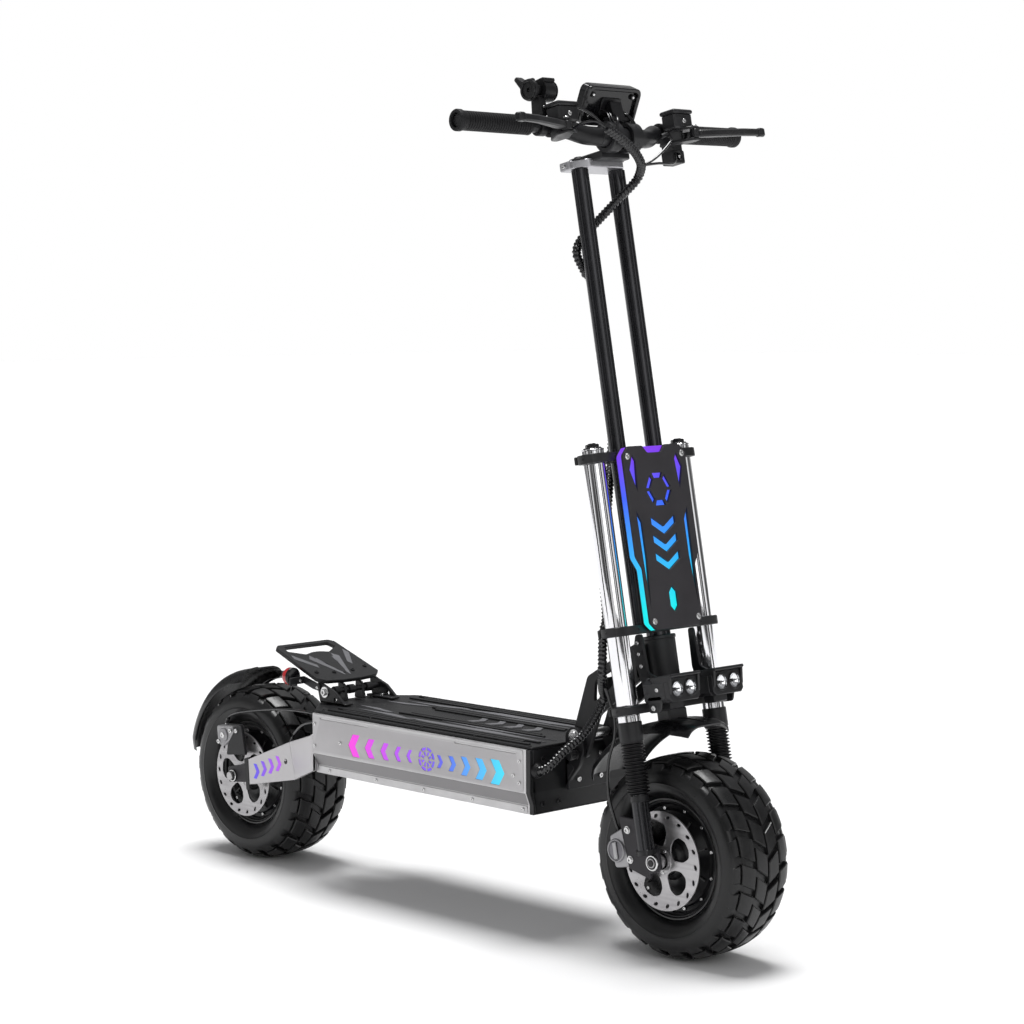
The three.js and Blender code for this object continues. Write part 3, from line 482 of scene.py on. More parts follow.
TYRE = surface("tyre_rubber", (0.005, 0.005, 0.0055), 0.32, 0.0, 1100, spread=0.45, relief=0.4, patches=35,
               wear=(0.02, 0.02, 0.02), shine=0.4)
CABLE = surface("cable_sleeve", (0.006, 0.006, 0.007), 0.2, 0.0, 900, spread=0.3, relief=0.1, shine=0.6)
RUBBER = surface("bellows_rubber", (0.006, 0.006, 0.007), 0.36, 0.0, 1200, spread=0.35, relief=0.3,
                 shine=0.45)
HUB = surface("hub_paint", (0.006, 0.006, 0.007), 0.3, 0.0, 1200, spread=0.35, relief=0.25,
              wear=(0.05, 0.05, 0.05), shine=0.4)
RED = surface("tail_lens", (0.50, 0.008, 0.012), 0.16, 0.0, 300, spread=0.25, relief=0.2, depth=0.0006,
              coat=0.5)
LENS = surface("lamp_reflector", (0.85, 0.86, 0.88), 0.1, 0.95, 400, spread=0.08, relief=0.2)
SCREEN = surface("display_glass", (0.006, 0.008, 0.011), 0.08, 0.0, 300, spread=0.3, relief=0.02, coat=0.6)

UP_FORK = (math.sin(RAKE), 0.0, math.cos(RAKE))
PANEL_ZERO = FRONT_AXLE.dot(Vector(UP_FORK))
PURPLE, BLUE, AZURE, CYAN = (0.22, 0.035, 0.85), (0.05, 0.12, 1.0), (0.03, 0.42, 1.0), (0.0, 0.86, 0.88)
MAGENTA, VIOLET = (1.0, 0.06, 0.80), (0.42, 0.10, 0.95)
PANEL_GLOW = lit("panel_glow", UP_FORK, PANEL_ZERO + 0.40, PANEL_ZERO + 0.66,
                 [(0.0, CYAN), (0.35, AZURE), (0.7, BLUE), (1.0, PURPLE)], 1.0)
SIDE_GLOW = lit("side_glow", (1.0, 0.0, 0.0), -0.14, 0.26,
                [(0.0, MAGENTA), (0.38, VIOLET), (0.62, (0.10, 0.14, 0.85)), (0.8, (0.10, 0.45, 1.0)),
                 (1.0, (0.05, 0.80, 1.0))], 0.95)
ARM_GLOW = lit("arm_glow", (1.0, 0.0, 0.0), -0.46, -0.38,
               [(0.0, (0.13, 0.10, 0.85)), (1.0, (0.55, 0.12, 0.9))], 0.9)


# ---------------------------------------------------------------- chassis
DECK_REAR, DECK_FRONT, DECK_TOP, DECK_BOTTOM = 284, 846, 321, 212
EMBLEM = (592, 275)

tray = Piece("deck_tray", "chassis", DECK, "black_alloy", "chassis_tray")
tray_half = [(124.7, DECK_TOP), (124.7, 249), (117.3, 227), (117.3, DECK_BOTTOM)]
tray_inner = [(114.3, DECK_BOTTOM + 3), (114.3, 227.6), (121.7, 249.6), (121.7, DECK_TOP)]
tray.plate([[*tray_half, *flipped(tray_half)[::-1], *flipped(tray_inner), *tray_inner[::-1]]], "x",
           DECK_REAR, DECK_FRONT, BLACK_METAL, 0.5)
wall = beside([(u - 1.2, v) for u, v in tray_half[:3]] + [(116.1, DECK_BOTTOM + 1.2)])
tray.plate([wall], "x", DECK_REAR + 0.8, DECK_REAR + 4, BLACK_METAL)
tray.plate([wall], "x", DECK_FRONT - 4, DECK_FRONT - 0.8, BLACK_METAL)
for y in (-100, -62, 62, 100):
    for z in (228, 304):
        tray.bolt((DECK_FRONT - 1, y, z), (1, 0, 0), 4.2, BLACK, 2.6)
        tray.bolt((DECK_REAR + 1, y, z), (-1, 0, 0), 3.2, BLACK, 2.2)
tray.block((400, -60, DECK_BOTTOM - 0.4), (800, 60, DECK_BOTTOM + 1.5), BLACK_METAL, 0.6)
for y in (99, 108):
    lug = eased([(504, 214), (510, 190), (530, 190), (536, 214)], 3, 3)
    tray.plate([lug], "y", y, y + 3, BLACK_METAL, 0.5)
tray.rod((520, 98, 199), (520, 112, 199), 4, ZINC)
tray.build()

for side, sign in SIDES.items():
    panel = Piece("deck_side_" + side, "chassis", DECK, "silver_metal", "side_plate_" + side)
    section = [(129.6, DECK_TOP), (129.6, 248), (121.4, 227), (121.4, DECK_BOTTOM), (118.2, DECK_BOTTOM),
               (118.2, 226.6), (125, 248.4), (125, DECK_TOP)]
    # Thin strip laid over the bend, drawn in the darker silver as painted shade.
    shaded_fold = [(129.9, 247.4), (121.9, 227.2), (121.2, 227.8), (129.2, 248)]
    for shape, start, end, mat, bevel in ((section, DECK_REAR, DECK_FRONT - 10, SILVER, 0.6),
                                          (section, DECK_FRONT - 9.6, DECK_FRONT, BLACK_METAL, 0.8),
                                          (shaded_fold, DECK_REAR + 3, DECK_FRONT - 12, SILVER_FOLD_SHADE, 0.2)):
        panel.plate([[(sign * y, z) for y, z in shape]], "x", start, end, mat, bevel)
    marks = [chevron((x, 275), half, width, -1) for x, half, width in
             ((384, 20, 19), (429, 17, 16), (471, 15, 13), (508, 13, 10), (540, 11, 8))]
    marks += [chevron((x, 275), half, width, 1) for x, half, width in
              ((634, 11, 8), (667, 13, 11), (703, 16, 14), (743, 18, 17), (786, 21, 21))]
    for k in range(8):
        a0, a1 = math.radians(45 * k + 5), math.radians(45 * k + 40)
        arc = [polar(21, a, EMBLEM) for a in (a0, (a0 + a1) / 2, a1)]
        arc += [polar(16, a, EMBLEM) for a in (a1, (a0 + a1) / 2, a0)]
        marks.append(arc)
        spoke = math.radians(45 * k + 22.5)
        across_spoke = Vector((-math.sin(spoke), math.cos(spoke))) * 1.5
        inner, outer = Vector(polar(6, spoke, EMBLEM)), Vector(polar(13.5, spoke, EMBLEM))
        marks.append([inner - across_spoke, outer - across_spoke * 1.5, outer + across_spoke * 1.5,
                      inner + across_spoke])
    grooves = [eased(rectangle((x, 312), (x + length, 314.5)), 1.2, 2)
               for x, length in ((306, 132), (664, 150))]
    face = eased(rectangle((DECK_REAR + 1, 249), (DECK_FRONT - 16, DECK_TOP - 1)), 5, 2)
    panel.plate([face, *marks, *grooves], "y", sign * 129.2, sign * 130.8, SILVER, 0.35)
    for mark in marks:
        lens = inset(wound([Vector(p) for p in mark], True), 0.35)
        panel.plate([lens], "y", sign * 129.3, sign * 130.5, SIDE_GLOW, 0.25)
    flange = eased(rectangle((DECK_REAR + 6, 213), (DECK_FRONT - 14, 225.5)), 2)
    panel.plate([flange], "y", sign * 121.2, sign * 122.6, SILVER, 0.4)
    for x, z in ((291, 302), (291, 262), (362, 275), (822, 300), (822, 264), (808, 275)):
        panel.bolt((x, sign * 130.6, z), (0, sign, 0), 3.3, ZINC, 2.0)
    for x in (322, 450, 575, 699, 822):
        panel.bolt((x, sign * 122.4, 219), (0, sign, 0), 3.3, ZINC, 2.0)
    panel.build()

    arm = Piece("swing_arm_" + side, "chassis", DECK, "silver_metal", "rear_arm_" + side)
    flat = eased([(38, 198.6), (172, 250), (188, 181), (43, 152.4)], 3, 3)
    arm.plate([flat, ring(4.5, 14, (160, 212))], "y", sign * 88, sign * 94, ARM_SILVER, 0.8)
    end = eased([(-14, 151), (-17, 180), (42, 193), (46, 158)], 5, 3)
    arm.plate([end, ring(8.6, 20, (0, 165))], "y", sign * 88.4, sign * 93.2, PANEL, 0.8)
    strap = eased([(36, 202), (48, 206), (52, 146), (42, 143)], 2, 2)
    arm.plate([strap], "y", sign * 87.6, sign * 95, BLACK_METAL, 0.8)
    bend = [(171.5, 88, 250), (187.5, 88, 181), (283.7, 124, 214), (283.7, 124, 281)]
    corners = [(x, sign * y, z) for x, y, z in bend] + [(x, sign * (y + 6), z) for x, y, z in bend]
    arm.solid(corners, ARM_SILVER, 0.8)
    arm.block((277.7, sign * 60, 214), (283.7, sign * 130, 281), ARM_SILVER)
    for k in range(4):
        mark = chevron((82 + 22 * k, 182 + 7.6 * k), 14, 9, 1)
        arm.plate([mark], "y", sign * 93.6, sign * 94.6, ARM_GLOW, 0.3)
    for y in (70, 112):
        for z in (226, 269):
            arm.bolt((277.8, sign * y, z), (-1, 0, 0), 4, ZINC, 3)
    arm.build()

board = Piece("deck_mat", "chassis", DECK, "grip_rubber", "deck_board")
rim = across([(222, 62), (DECK_REAR, 125), (DECK_FRONT, 125)])
board.plate([eased(rim, 4, 3)], "z", 321.3, 325.5, MAT, 1.0)
for y, start, end in ((110, 306, 826), (98, 330, 800), (86, 306, 826), (40, 420, 790), (28, 440, 770)):
    for sign in (-1, 1):
        strip = eased(rectangle((start, sign * y - 4), (end, sign * y + 4)), 3.9, 2)
        board.plate([strip], "z", 325, 328.3, MAT, 1.0)
stripes = [[(330, 60), (470, 77), (500, 70), (420, 57)], [(450, 65), (560, 80), (830, 75), (700, 61)],
           [(300, 33), (392, 50), (412, 46), (350, 31)], [(540, 47), (640, 56), (830, 50), (660, 46)]]
for outline in stripes:
    for sign in (-1, 1):
        board.plate([[(x, sign * y) for x, y in outline]], "z", 325.2, 326.6, STRIPE, 0.4)
for k in range(4):
    board.plate([chevron((600 + 46 * k, 0), 19, 15, 1)], "z", 325.2, 327.2, STRIPE, 0.5)
for x, y in ((300, 117), (430, 117), (565, 117), (700, 117), (834, 117), (240, 55), (834, 0)):
    for sign in (-1, 1) if y else (1,):
        board.bolt((x, sign * y, 325.4), (0, 0, 1), 3.2, BLACK, 1.6)
board.build()

neck = Piece("neck_base_block", "chassis", DECK, "black_metal", "neck_base")
ear = eased([(846.3, 250), (880, 290), (890, 316), (880, 351), (860, 353), (846.3, 342)], 6, 3)
for lo, hi in ((-48, -40), (40, 48)):
    neck.plate([ear, ring(4.6, 14, (874, 308))], "y", lo, hi, BLACK_METAL, 1.0)
    gusset = eased([(852, 262), (868, 284), (862, 290), (850, 290)], 2)
    neck.plate([gusset], "y", lo - 0.5, hi + 0.5, BLACK, 0.5)
neck.block((846.3, -48, 246), (856, 48, 322), BLACK_METAL, 1.2)
neck.rod((868, -49, 338), (868, 49, 338), 8, ZINC)
for sign in (-1, 1):
    neck.nut((868, sign * 48, 338), (0, sign, 0), 9.5, 5, ZINC, 11.5)
    for z in (262, 300):
        neck.bolt((856, sign * 26, z), (1, 0, 0), 4.5, ZINC, 3)
neck.build()

latch = Piece("clamp_knob", "neck_clamp", DECK, "disc_steel", "fold_latch")
knob = [(0, -68), (6.4, -68), (8, -66.4), (8, -56), (6.6, -55), (6.6, -53), (7.8, -52), (7.8, -48.4),
        (4, -48.4), (4, -40), (0, -40)]
latch.turned(knob, "y", BLACK, (874, 0, 308), 24)
for k in range(12):
    x, z = polar(7.7, math.pi * k / 6, (874, 308))
    latch.rod((x, -65.5, z), (x, -57, z), 0.9, BLACK, 0.2, 6)
latch.build()

REST = Matrix.Translation((96, 0, 413)) @ Matrix.Rotation(math.atan2(52, 144), 4, "Y")
rest = Piece("rear_footrest", "chassis", DECK, "black_alloy", "footrest")
outline = across([(0, 61), (10, 71), (139.1, 75), (153.1, 59), (157.1, 20)])
hand_hole = across([(11, 52), (28, 57), (46, 28), (40, 8)])
rest.plate([eased(outline, 1.2), eased(hand_hole, 2, 2)], "z", 0, 7, MAT, 1.1, REST)
rest.plate([eased(across([(54, 2), (60, 20), (120, 8), (132, 3)]), 2)], "z", 6.6, 7.9, MAT, 0.5, REST)
for sign in (-1, 1):
    for arrow in ([(54, 26), (68, 36), (142, 6), (128, 4)], [(44, 62), (60, 66), (104, 40), (92, 36)],
                  [(62, 18), (70, 22), (112, 5), (100, 4)]):
        rest.plate([[(x, sign * y) for x, y in arrow]], "z", 6.5, 7.6, STRIPE, 0.3, REST)
    for x, y in ((118, 58), (126, 22)):
        rest.bolt(REST @ Vector((x, sign * y, 7)), REST.to_3x3() @ Vector((0, 0, 1)), 4.2, BLACK, 2.4)
rest.build()

stand = Piece("footrest_brackets", "chassis", DECK, "grey_alloy", "footrest_frame")
base = 326.9
bracket = eased([(228, base), (222, 349), (222, 366.5), (250, 356.5), (268, 351), (300, base)], 3, 2)
for lo, hi in ((-66, -60), (60, 66)):
    stand.plate([bracket, ring(4, 12, (272, 335))], "y", lo, hi, BLACK_METAL, 0.8)
for lo in (-66, 46):
    stand.block((228, lo, base), (300, lo + 20, base + 4), BLACK_METAL)
    stand.bolt((262, lo + 10, base + 4), (0, 0, 1), 4, ZINC, 2.6)
for lo in (-24, 18):
    prop = eased([(226, base), (230, 362), (246, 357.5), (254, base)], 2)
    stand.plate([prop], "y", lo, lo + 6, BLACK_METAL)
stand.rod((243, -70, 347), (243, 70, 347), 5, BLACK_METAL)
for lo in (-46, -12, 30):
    stand.band(5, 8.5, lo, lo + 14, "y", BLACK, (243, 0, 347), 0.8, 20)
for sign in (-1, 1):
    stand.disc(10.5, sign * 66, sign * 68, "y", ZINC, (243, 0, 347), 0.5, 28)
    stand.bolt((243, sign * 67.6, 347), (0, sign, 0), 6.4, ZINC, 4.4)
stand.build()

lamp = Piece("tail_lamp", "chassis", DECK, "gloss_plastic", "tail_light")
centre = (184, -91, 372)
rim_profile = eased([(0, 0), (14, 0), (17, -2), (17, -5), (15.4, -6), (0, -6)], 0.6, 1, False)
dome = [(0, -5.8), (16, -5.8), (16.4, -13), (14.4, -16.8), (10, -19), (5, -19.8), (0, -20)]
lamp.turned(rim_profile, "x", GLOSSY, centre, 36)
lamp.turned(dome, "x", RED, centre, 36)
for radius in (4, 8, 12):
    lamp.band(radius - 0.7, radius + 0.7, -19.4 + radius * 0.16, -17, "x", RED, centre, 0.3, 30)
lamp.block((183, -103, 358), (188, -66.3, 371), BLACK_METAL, 0.8)
strip = eased([(186, 358), (186, 371), (232, 360), (232, 348), (214, 350)], 2)
lamp.plate([strip], "y", -70, -66.3, BLACK_METAL, 0.5)
lamp.bolt((226, -70, 354), (0, -1, 0), 3, ZINC, 2)
lamp.bolt((188, -80, 364.5), (1, 0, 0), 3, ZINC, 2)
lamp.build()


def fender_section(crown, half, drop):
    outer = [(half, crown - drop), (half - 6, crown - 7), (half - 24, crown)]
    inner = [(half - 24, crown - 3), (half - 8.8, crown - 9.2), (half - 3, crown - drop)]
    mirrored = [(-y, r) for y, r in reversed(outer)]
    lower = [(-y, r) for y, r in reversed(inner)]
    return [(p.x, p.y) for p in eased([*outer, *mirrored, *lower, *inner], 9, 4)]


mudguard = Piece("rear_mudguard", "chassis", REAR, "black_plastic", "rear_fender")
mudguard.swept(fender_section(197, 59, 25), -83, -8, 46, FENDER, 0.12)
mudguard.swept([(-3, 196), (3, 196), (2, 198.4), (-2, 198.4)], -74, -12, 36, FENDER)
for y in (-54, 51):
    mudguard.swept([(y, 177), (y + 3, 177), (y + 4, 175.4), (y - 1, 175.4)], -76, -10, 30, FENDER)
mudguard.plate([eased([(-27, 10), (-16, 12), (-6, 40), (-44, 167), (-60, 162), (-24, 30)], 4, 2)], "y",
               94.3, 97, BLACK_METAL, 0.5)
mudguard.plate([eased([(-60, 162), (-44, 167), (-62, 178), (-72, 170)], 3)], "y", 51, 97, BLACK_METAL, 0.6)
mudguard.bolt((-22, 97, 22), (0, 1, 0), 5, ZINC, 3)
mudguard.build()

axle = Piece("rear_axle_set", "chassis", REAR, "disc_steel", "rear_axle")
axle.disc(8, -103, 103, "y", STEEL)
for sign in (-1, 1):
    axle.nut((0, sign * 94.3, 0), (0, sign, 0), 9.6, 5, BLACK, 12)
    axle.band(8.2, 11.4, sign * 93, sign * 97, "y", ZINC, bevel=1)
    axle.band(8, 12, sign * 74, sign * 87.7, "y", STEEL)
axle.build()

brake = Piece("rear_brake_unit", "chassis", DECK, "grey_alloy", "rear_caliper")
carrier = [(-10, 241), (6, 262), (18, 262), (30, 206), (16, 206), (-28, 200), (-24, 222)]
brake.plate([eased(carrier, 4, 2)], "y", -87, -81, BLACK_METAL, 0.8)
housing = [(-58, 254), (-8, 258), (-6, 238), (-40, 214), (-54, 220)]
brake.plate([eased(housing, 6, 3)], "y", -87, -73.4, CALIPER, 1.4)
brake.plate([eased(housing, 6, 3)], "y", -64.8, -58, CALIPER, 1.4)
brake.plate([eased([(-54, 252), (-18, 256), (-22, 250), (-48, 244)], 2)], "y", -74, -64, CALIPER, 0.6)
brake.disc(13, -90, -86, "y", CALIPER, (-36, 0, 238), 1.2)
brake.bolt((-36, -89.6, 238), (0, -1, 0), 6, ZINC, 2)
for x, z in ((-14, 248), (4, 250), (-50, 224)):
    brake.bolt((x, -87, z), (0, -1, 0), 4.4, ZINC, 3.4)
brake.rod((-46, -72, 252), (-42, -72, 266), 3.8, ZINC)
brake.build()

stalk = Piece("side_stand", "kickstand", DECK, "black_metal", "kickstand_leg")
stalk.disc(7, 102.3, 107.7, "y", BLACK_METAL, (520, 0, 199), 0.6, 28)
stalk.tube([(514, 105, 199), (480, 105, 199), (400, 105, 199.5), (334, 105, 199)], 5, BLACK, 6, 16)
stalk.block((328, 99, 194), (350, 111, 203), GRIP, 2)
for x in (332, 338, 344):
    stalk.block((x, 99.5, 193), (x + 2, 110.5, 195), GRIP, 0.5)
stalk.build()

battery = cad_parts["battery_pack"]
battery.data.materials.clear()
battery.data.materials.append(PLASTIC)

hose = Piece("rear_brake_line", "chassis", DECK, "cable", "rear_brake_hose")
hose.tube([(-46, -72, 260), (-30, -74, 274), (15, -84, 287), (105, -96, 303), (184, -109, 313),
           (255, -120, 318), (283, -121, 317)], 2.5, CABLE, 3)
hose.disc(4, 0, 14, "z", BLACK, local=facing((-46, -72, 258), (0.6, -0.1, 0.7)), steps=16)
hose.build()

lead = Piece("rear_motor_lead", "chassis", DECK, "cable", "rear_motor_cable")
lead.tube([(16, -80, 171), (40, -81, 184), (110, -82, 216), (150, -82, 236), (170, -84, 257),
           (192, -96, 270), (232, -108, 291), (282.5, -116, 304)], 3, CABLE, 3)
lead.build()

# ---------------------------------------------------------------- wheels
TREAD_PITCHES = 22
TREAD_DEPTH = 6.6
TYRE_RADIUS = 165
CROWN = [(0, TYRE_RADIUS), (18, 164.7), (34, 163.2), (47, 160.2), (56, 155.6), (62.5, 148.5), (66.5, 139),
         (68, 128)]
SIDEWALL = [(67.2, 119), (64, 111), (59, 105), (54.5, 101.5), (51, 99.2)]
ARCS = [0.0]
for first, second in zip(CROWN, CROWN[1:]):
    ARCS.append(ARCS[-1] + math.dist(first, second))


def crown_point(distance, depth):
    """(y, radius) on the tread at a distance round its section from the middle, sunk by depth."""
    side = 1 if distance >= 0 else -1
    distance = min(abs(distance), ARCS[-1] - 0.01)
    k = max(i for i, arc in enumerate(ARCS[:-1]) if arc <= distance)
    share = (distance - ARCS[k]) / (ARCS[k + 1] - ARCS[k])
    (y0, r0), (y1, r1) = CROWN[k], CROWN[k + 1]
    normal = Vector((r0 - r1, y1 - y0)).normalized()
    return side * (y0 + share * (y1 - y0) - depth * normal.x), r0 + share * (r1 - r0) - depth * normal.y


def tread_block(piece, turn, start, length, width, skew, bend, rows):
    """Tread block: start and length run round the section, width round the wheel, all in millimetres."""
    side = 1 if start >= 0 else -1

    def corner(i, j, margin, depth):
        inner = margin / length
        share = inner + j / rows * (1 - 2 * inner)
        left = skew * share + bend * math.sin(math.pi * share) + margin
        along = left + (width - 2 * margin) * i / 2
        y, r = crown_point(start + side * length * share, depth)
        a = turn + along / TYRE_RADIUS
        return r * math.sin(a), y, r * math.cos(a)

    border = [(0, j) for j in range(rows)] + [(i, rows) for i in range(2)]
    border += [(2, j) for j in range(rows, 0, -1)] + [(i, 0) for i in (2, 1)]
    verts, faces = [], []
    for margin, depth in ((0, 8), (0.2, 1.3)):
        verts += [corner(i, j, margin, depth) for i, j in border]
    top = len(verts)
    verts += [corner(i, j, 1.5, 0) for j in range(rows + 1) for i in range(3)]
    count = len(border)
    faces.append(tuple(range(count)))
    for s in range(count):
        t = (s + 1) % count
        faces.append((s, t, count + t, count + s))
        inner = [top + j * 3 + i for i, j in (border[s], border[t])]
        faces.append((count + s, count + t, inner[1], inner[0]))
    for j in range(rows):
        for i in range(2):
            a = top + j * 3 + i
            faces.append((a, a + 1, a + 4, a + 3))
    piece.shell(verts, faces, TYRE)


def floor_depth(distance):
    """How deep the carcass lies below the blocks' tops."""
    return TREAD_DEPTH * min(1.0, max(0.0, 1 - (distance - 56) / 14))


PETAL = [(24, 0.20), (34, 0.12), (48, 0.10), (60, 0.22), (63.5, 0.42), (62.5, 0.66), (56, 0.88), (44, 0.98),
         (33, 0.92), (25, 0.68)]


def wheel(prefix, body, at):
    casing = Piece(prefix + "_tyre_rubber", body, at, "tyre", prefix + "_tyre")
    distances = [4 * k for k in range(int(ARCS[-1] // 4) + 1)]
    half = [(r, y) for y, r in (crown_point(d, floor_depth(d)) for d in distances)]
    half += [(126, 68), (124.5, 68.8), (123, 68.2), (121.4, 67.6), *[(r, y) for y, r in SIDEWALL],
             (98.4, 47)]
    casing.turned([*half, *[(r, -y) for r, y in reversed(half[1:])]], "y", TYRE, steps=132)
    pitch = 2 * math.pi / TREAD_PITCHES
    arc = pitch * TYRE_RADIUS
    for k in range(TREAD_PITCHES):
        for side in (-1, 1):
            turn = pitch * (k + (0.25 if side > 0 else 0))
            tread_block(casing, turn, side * 1.6, 24, arc * 0.74, -arc * 0.34, 0, 3)
            tread_block(casing, turn + pitch * 0.36, side * 29, 26, arc * 0.76, -arc * 0.22, 0, 5)
            tread_block(casing, turn + pitch * 0.2, side * 58.5, 18, arc * 0.62, 0, 3, 3)
    casing.build()

    hub = Piece(prefix + "_hub_casting", body, at, "black_alloy", prefix + "_hub_motor")
    lip = [(98, 50), (95.4, 50), (94, 47), (91.6, 46.4), (90.4, 44), (87.4, 42.6), (86, 38)]
    cover = [(80, 37), (77, 41), (60, 43), (56, 46), (34, 49), (31, 56), (26, 60), (12, 60), (8.7, 59)]
    section = lip + cover
    casting = [*section, *[(r, -y) for r, y in reversed(section)], (98.2, -46), (98.2, 46)]
    hub.turned(casting, "y", HUB, steps=72)
    for sign in (-1, 1):
        for k in range(12):
            x, z = polar(81.5, math.pi * (k + 0.5) / 6)
            hub.bolt((x, sign * 38.6, z), (0, sign, 0), 2.8, ZINC, 2.2)
        for k in range(9):
            a = 2 * math.pi * k / 9
            rib = facing((0, 0, 0), (0, 1, 0)) @ Matrix.Rotation(a, 4, "Z")
            hub.block((36, -1.6, sign * 40), (74, 1.6, sign * 45.6), HUB, 0.8, rib)
    hub.build()

    rotor = Piece(prefix + "_rotor", body, at, "disc_steel", prefix + "_brake_disc")
    holes = [ring(13.4, 28)]
    for k in range(18):
        a = 2 * math.pi * k / 18
        middle = Vector(polar(72.5, a))
        along = Vector((-math.sin(a + 0.5), math.cos(a + 0.5)))
        out = Vector(polar(1, a + 0.5))
        holes.append([middle + along * 4.6 * math.cos(t) + out * 2.7 * math.sin(t)
                      for t in (math.pi * i / 5 for i in range(10))])
    for k in range(5):
        base_turn = 2 * math.pi * k / 5
        holes.append(eased([polar(r, base_turn + a) for r, a in PETAL], 4, 2))
    rotor.plate([ring(80.5, 96), *holes], "y", -70.5, -67.5, STEEL, 0.4)
    rotor.band(12.6, 25, -67.6, -60.3, "y", BLACK_METAL)
    rotor.band(13.2, 21, -71.4, -70.2, "y", STEEL)
    for k in range(5):
        x, z = polar(18.4, 2 * math.pi * (k - 0.1) / 5)
        rotor.bolt((x, -70.9, z), (0, -1, 0), 2.7, ZINC, 1.6)
    rotor.build()


wheel("rear", "rear_wheel", REAR)
wheel("front", "front_wheel", FRONT)

# ---------------------------------------------------------------- folding head
head = Piece("steering_head", "head", FORK, "black_metal", "head_bracket")
PIN_X, PIN_H, BACK = -182.5, 210.1, -22
cheek = [(PIN_X - 16, PIN_H + 2), (PIN_X - 14, PIN_H - 16), (PIN_X - 6, PIN_H - 38),
         (PIN_X + 14, PIN_H - 38), (PIN_X + 56, 240), (BACK, 290), (BACK, 350), (PIN_X + 40, 306),
         (PIN_X - 4, PIN_H + 18)]
window = [(PIN_X + 48, 262), (PIN_X + 96, 286), (PIN_X + 100, 312), (PIN_X + 56, 296)]
for lo, hi in ((-39.7, -31.7), (31.7, 39.7)):
    head.plate([eased(cheek, 6, 3), ring(9, 24, (PIN_X, PIN_H)), eased(window, 8, 3)], "y", lo, hi,
               BLACK_METAL, 1.0)
head.block((-122.5, -32.5, 258), (-110.5, 32.5, 300), BLACK_METAL)
head.block((-30, -39.7, 292), (-16, 39.7, 346), BLACK_METAL, 2)
head.band(20.8, 26, 258, 355, "z", BLACK_METAL, (-6, 0, 0), 1.2, 56)
for lo in (255, 351):
    head.band(20.8, 27.4, lo, lo + 7, "z", BLACK, (-6, 0, 0), 1.4, 56)
for sign in (-1, 1):
    for x, h in ((-104, 268), (-60, 300), (-44, 330)):
        head.bolt((x, sign * 39.7, h), (0, sign, 0), 4.6, ZINC, 3)
head.build()

# ---------------------------------------------------------------- fork and stem
TUBE_Y, STEM_Y, CROWN_H, LOWER_H, UPPER_H = 101, 43, 245, 371, 651
CLAMP_HALF = [(20, 60), (22, 80), (22, 112), (17, 121), (7, 125), (-7, 125), (-17, 121), (-22, 112),
              (-22, 80), (-20, 60)]


def clamp(name, slot, stands_for, lo, hi, bores):
    piece = Piece(name, "steering", FORK, slot, stands_for)
    piece.plate([across(CLAMP_HALF), *bores], "z", lo, hi, BLACK, 1.2)
    middle = (lo + hi) / 2
    for sign in (-1, 1):
        piece.bolt((0, sign * 124.6, middle), (0, sign, 0), 3.4, BLACK, 0.8)
        piece.bolt((21, sign * 74, middle), (1, 0, 0), 3.4, BLACK, 1.2)
        piece.block((-25, sign * 112, lo + 1), (-20, sign * 121, hi - 1), BLACK)
    return piece


tube_bores = [ring(18.2, 40, (0, sign * TUBE_Y)) for sign in (-1, 1)]
stem_bores = [ring(14.2, 36, (0, sign * STEM_Y)) for sign in (-1, 1)]
crown = clamp("fork_crown_plate", "black_alloy", "fork_crown", CROWN_H - 7, CROWN_H + 7, tube_bores)
crown.disc(20, CROWN_H, LOWER_H + 5, "z", GLOSS_BLACK, (-6, 0, 0), 1, 48)
crown.build()
for level, height in (("lower", LOWER_H), ("upper", UPPER_H)):
    clamp(level + "_triple_clamp", "black_alloy", level + "_clamp", height - 7.5, height + 7.5,
          tube_bores + stem_bores).build()

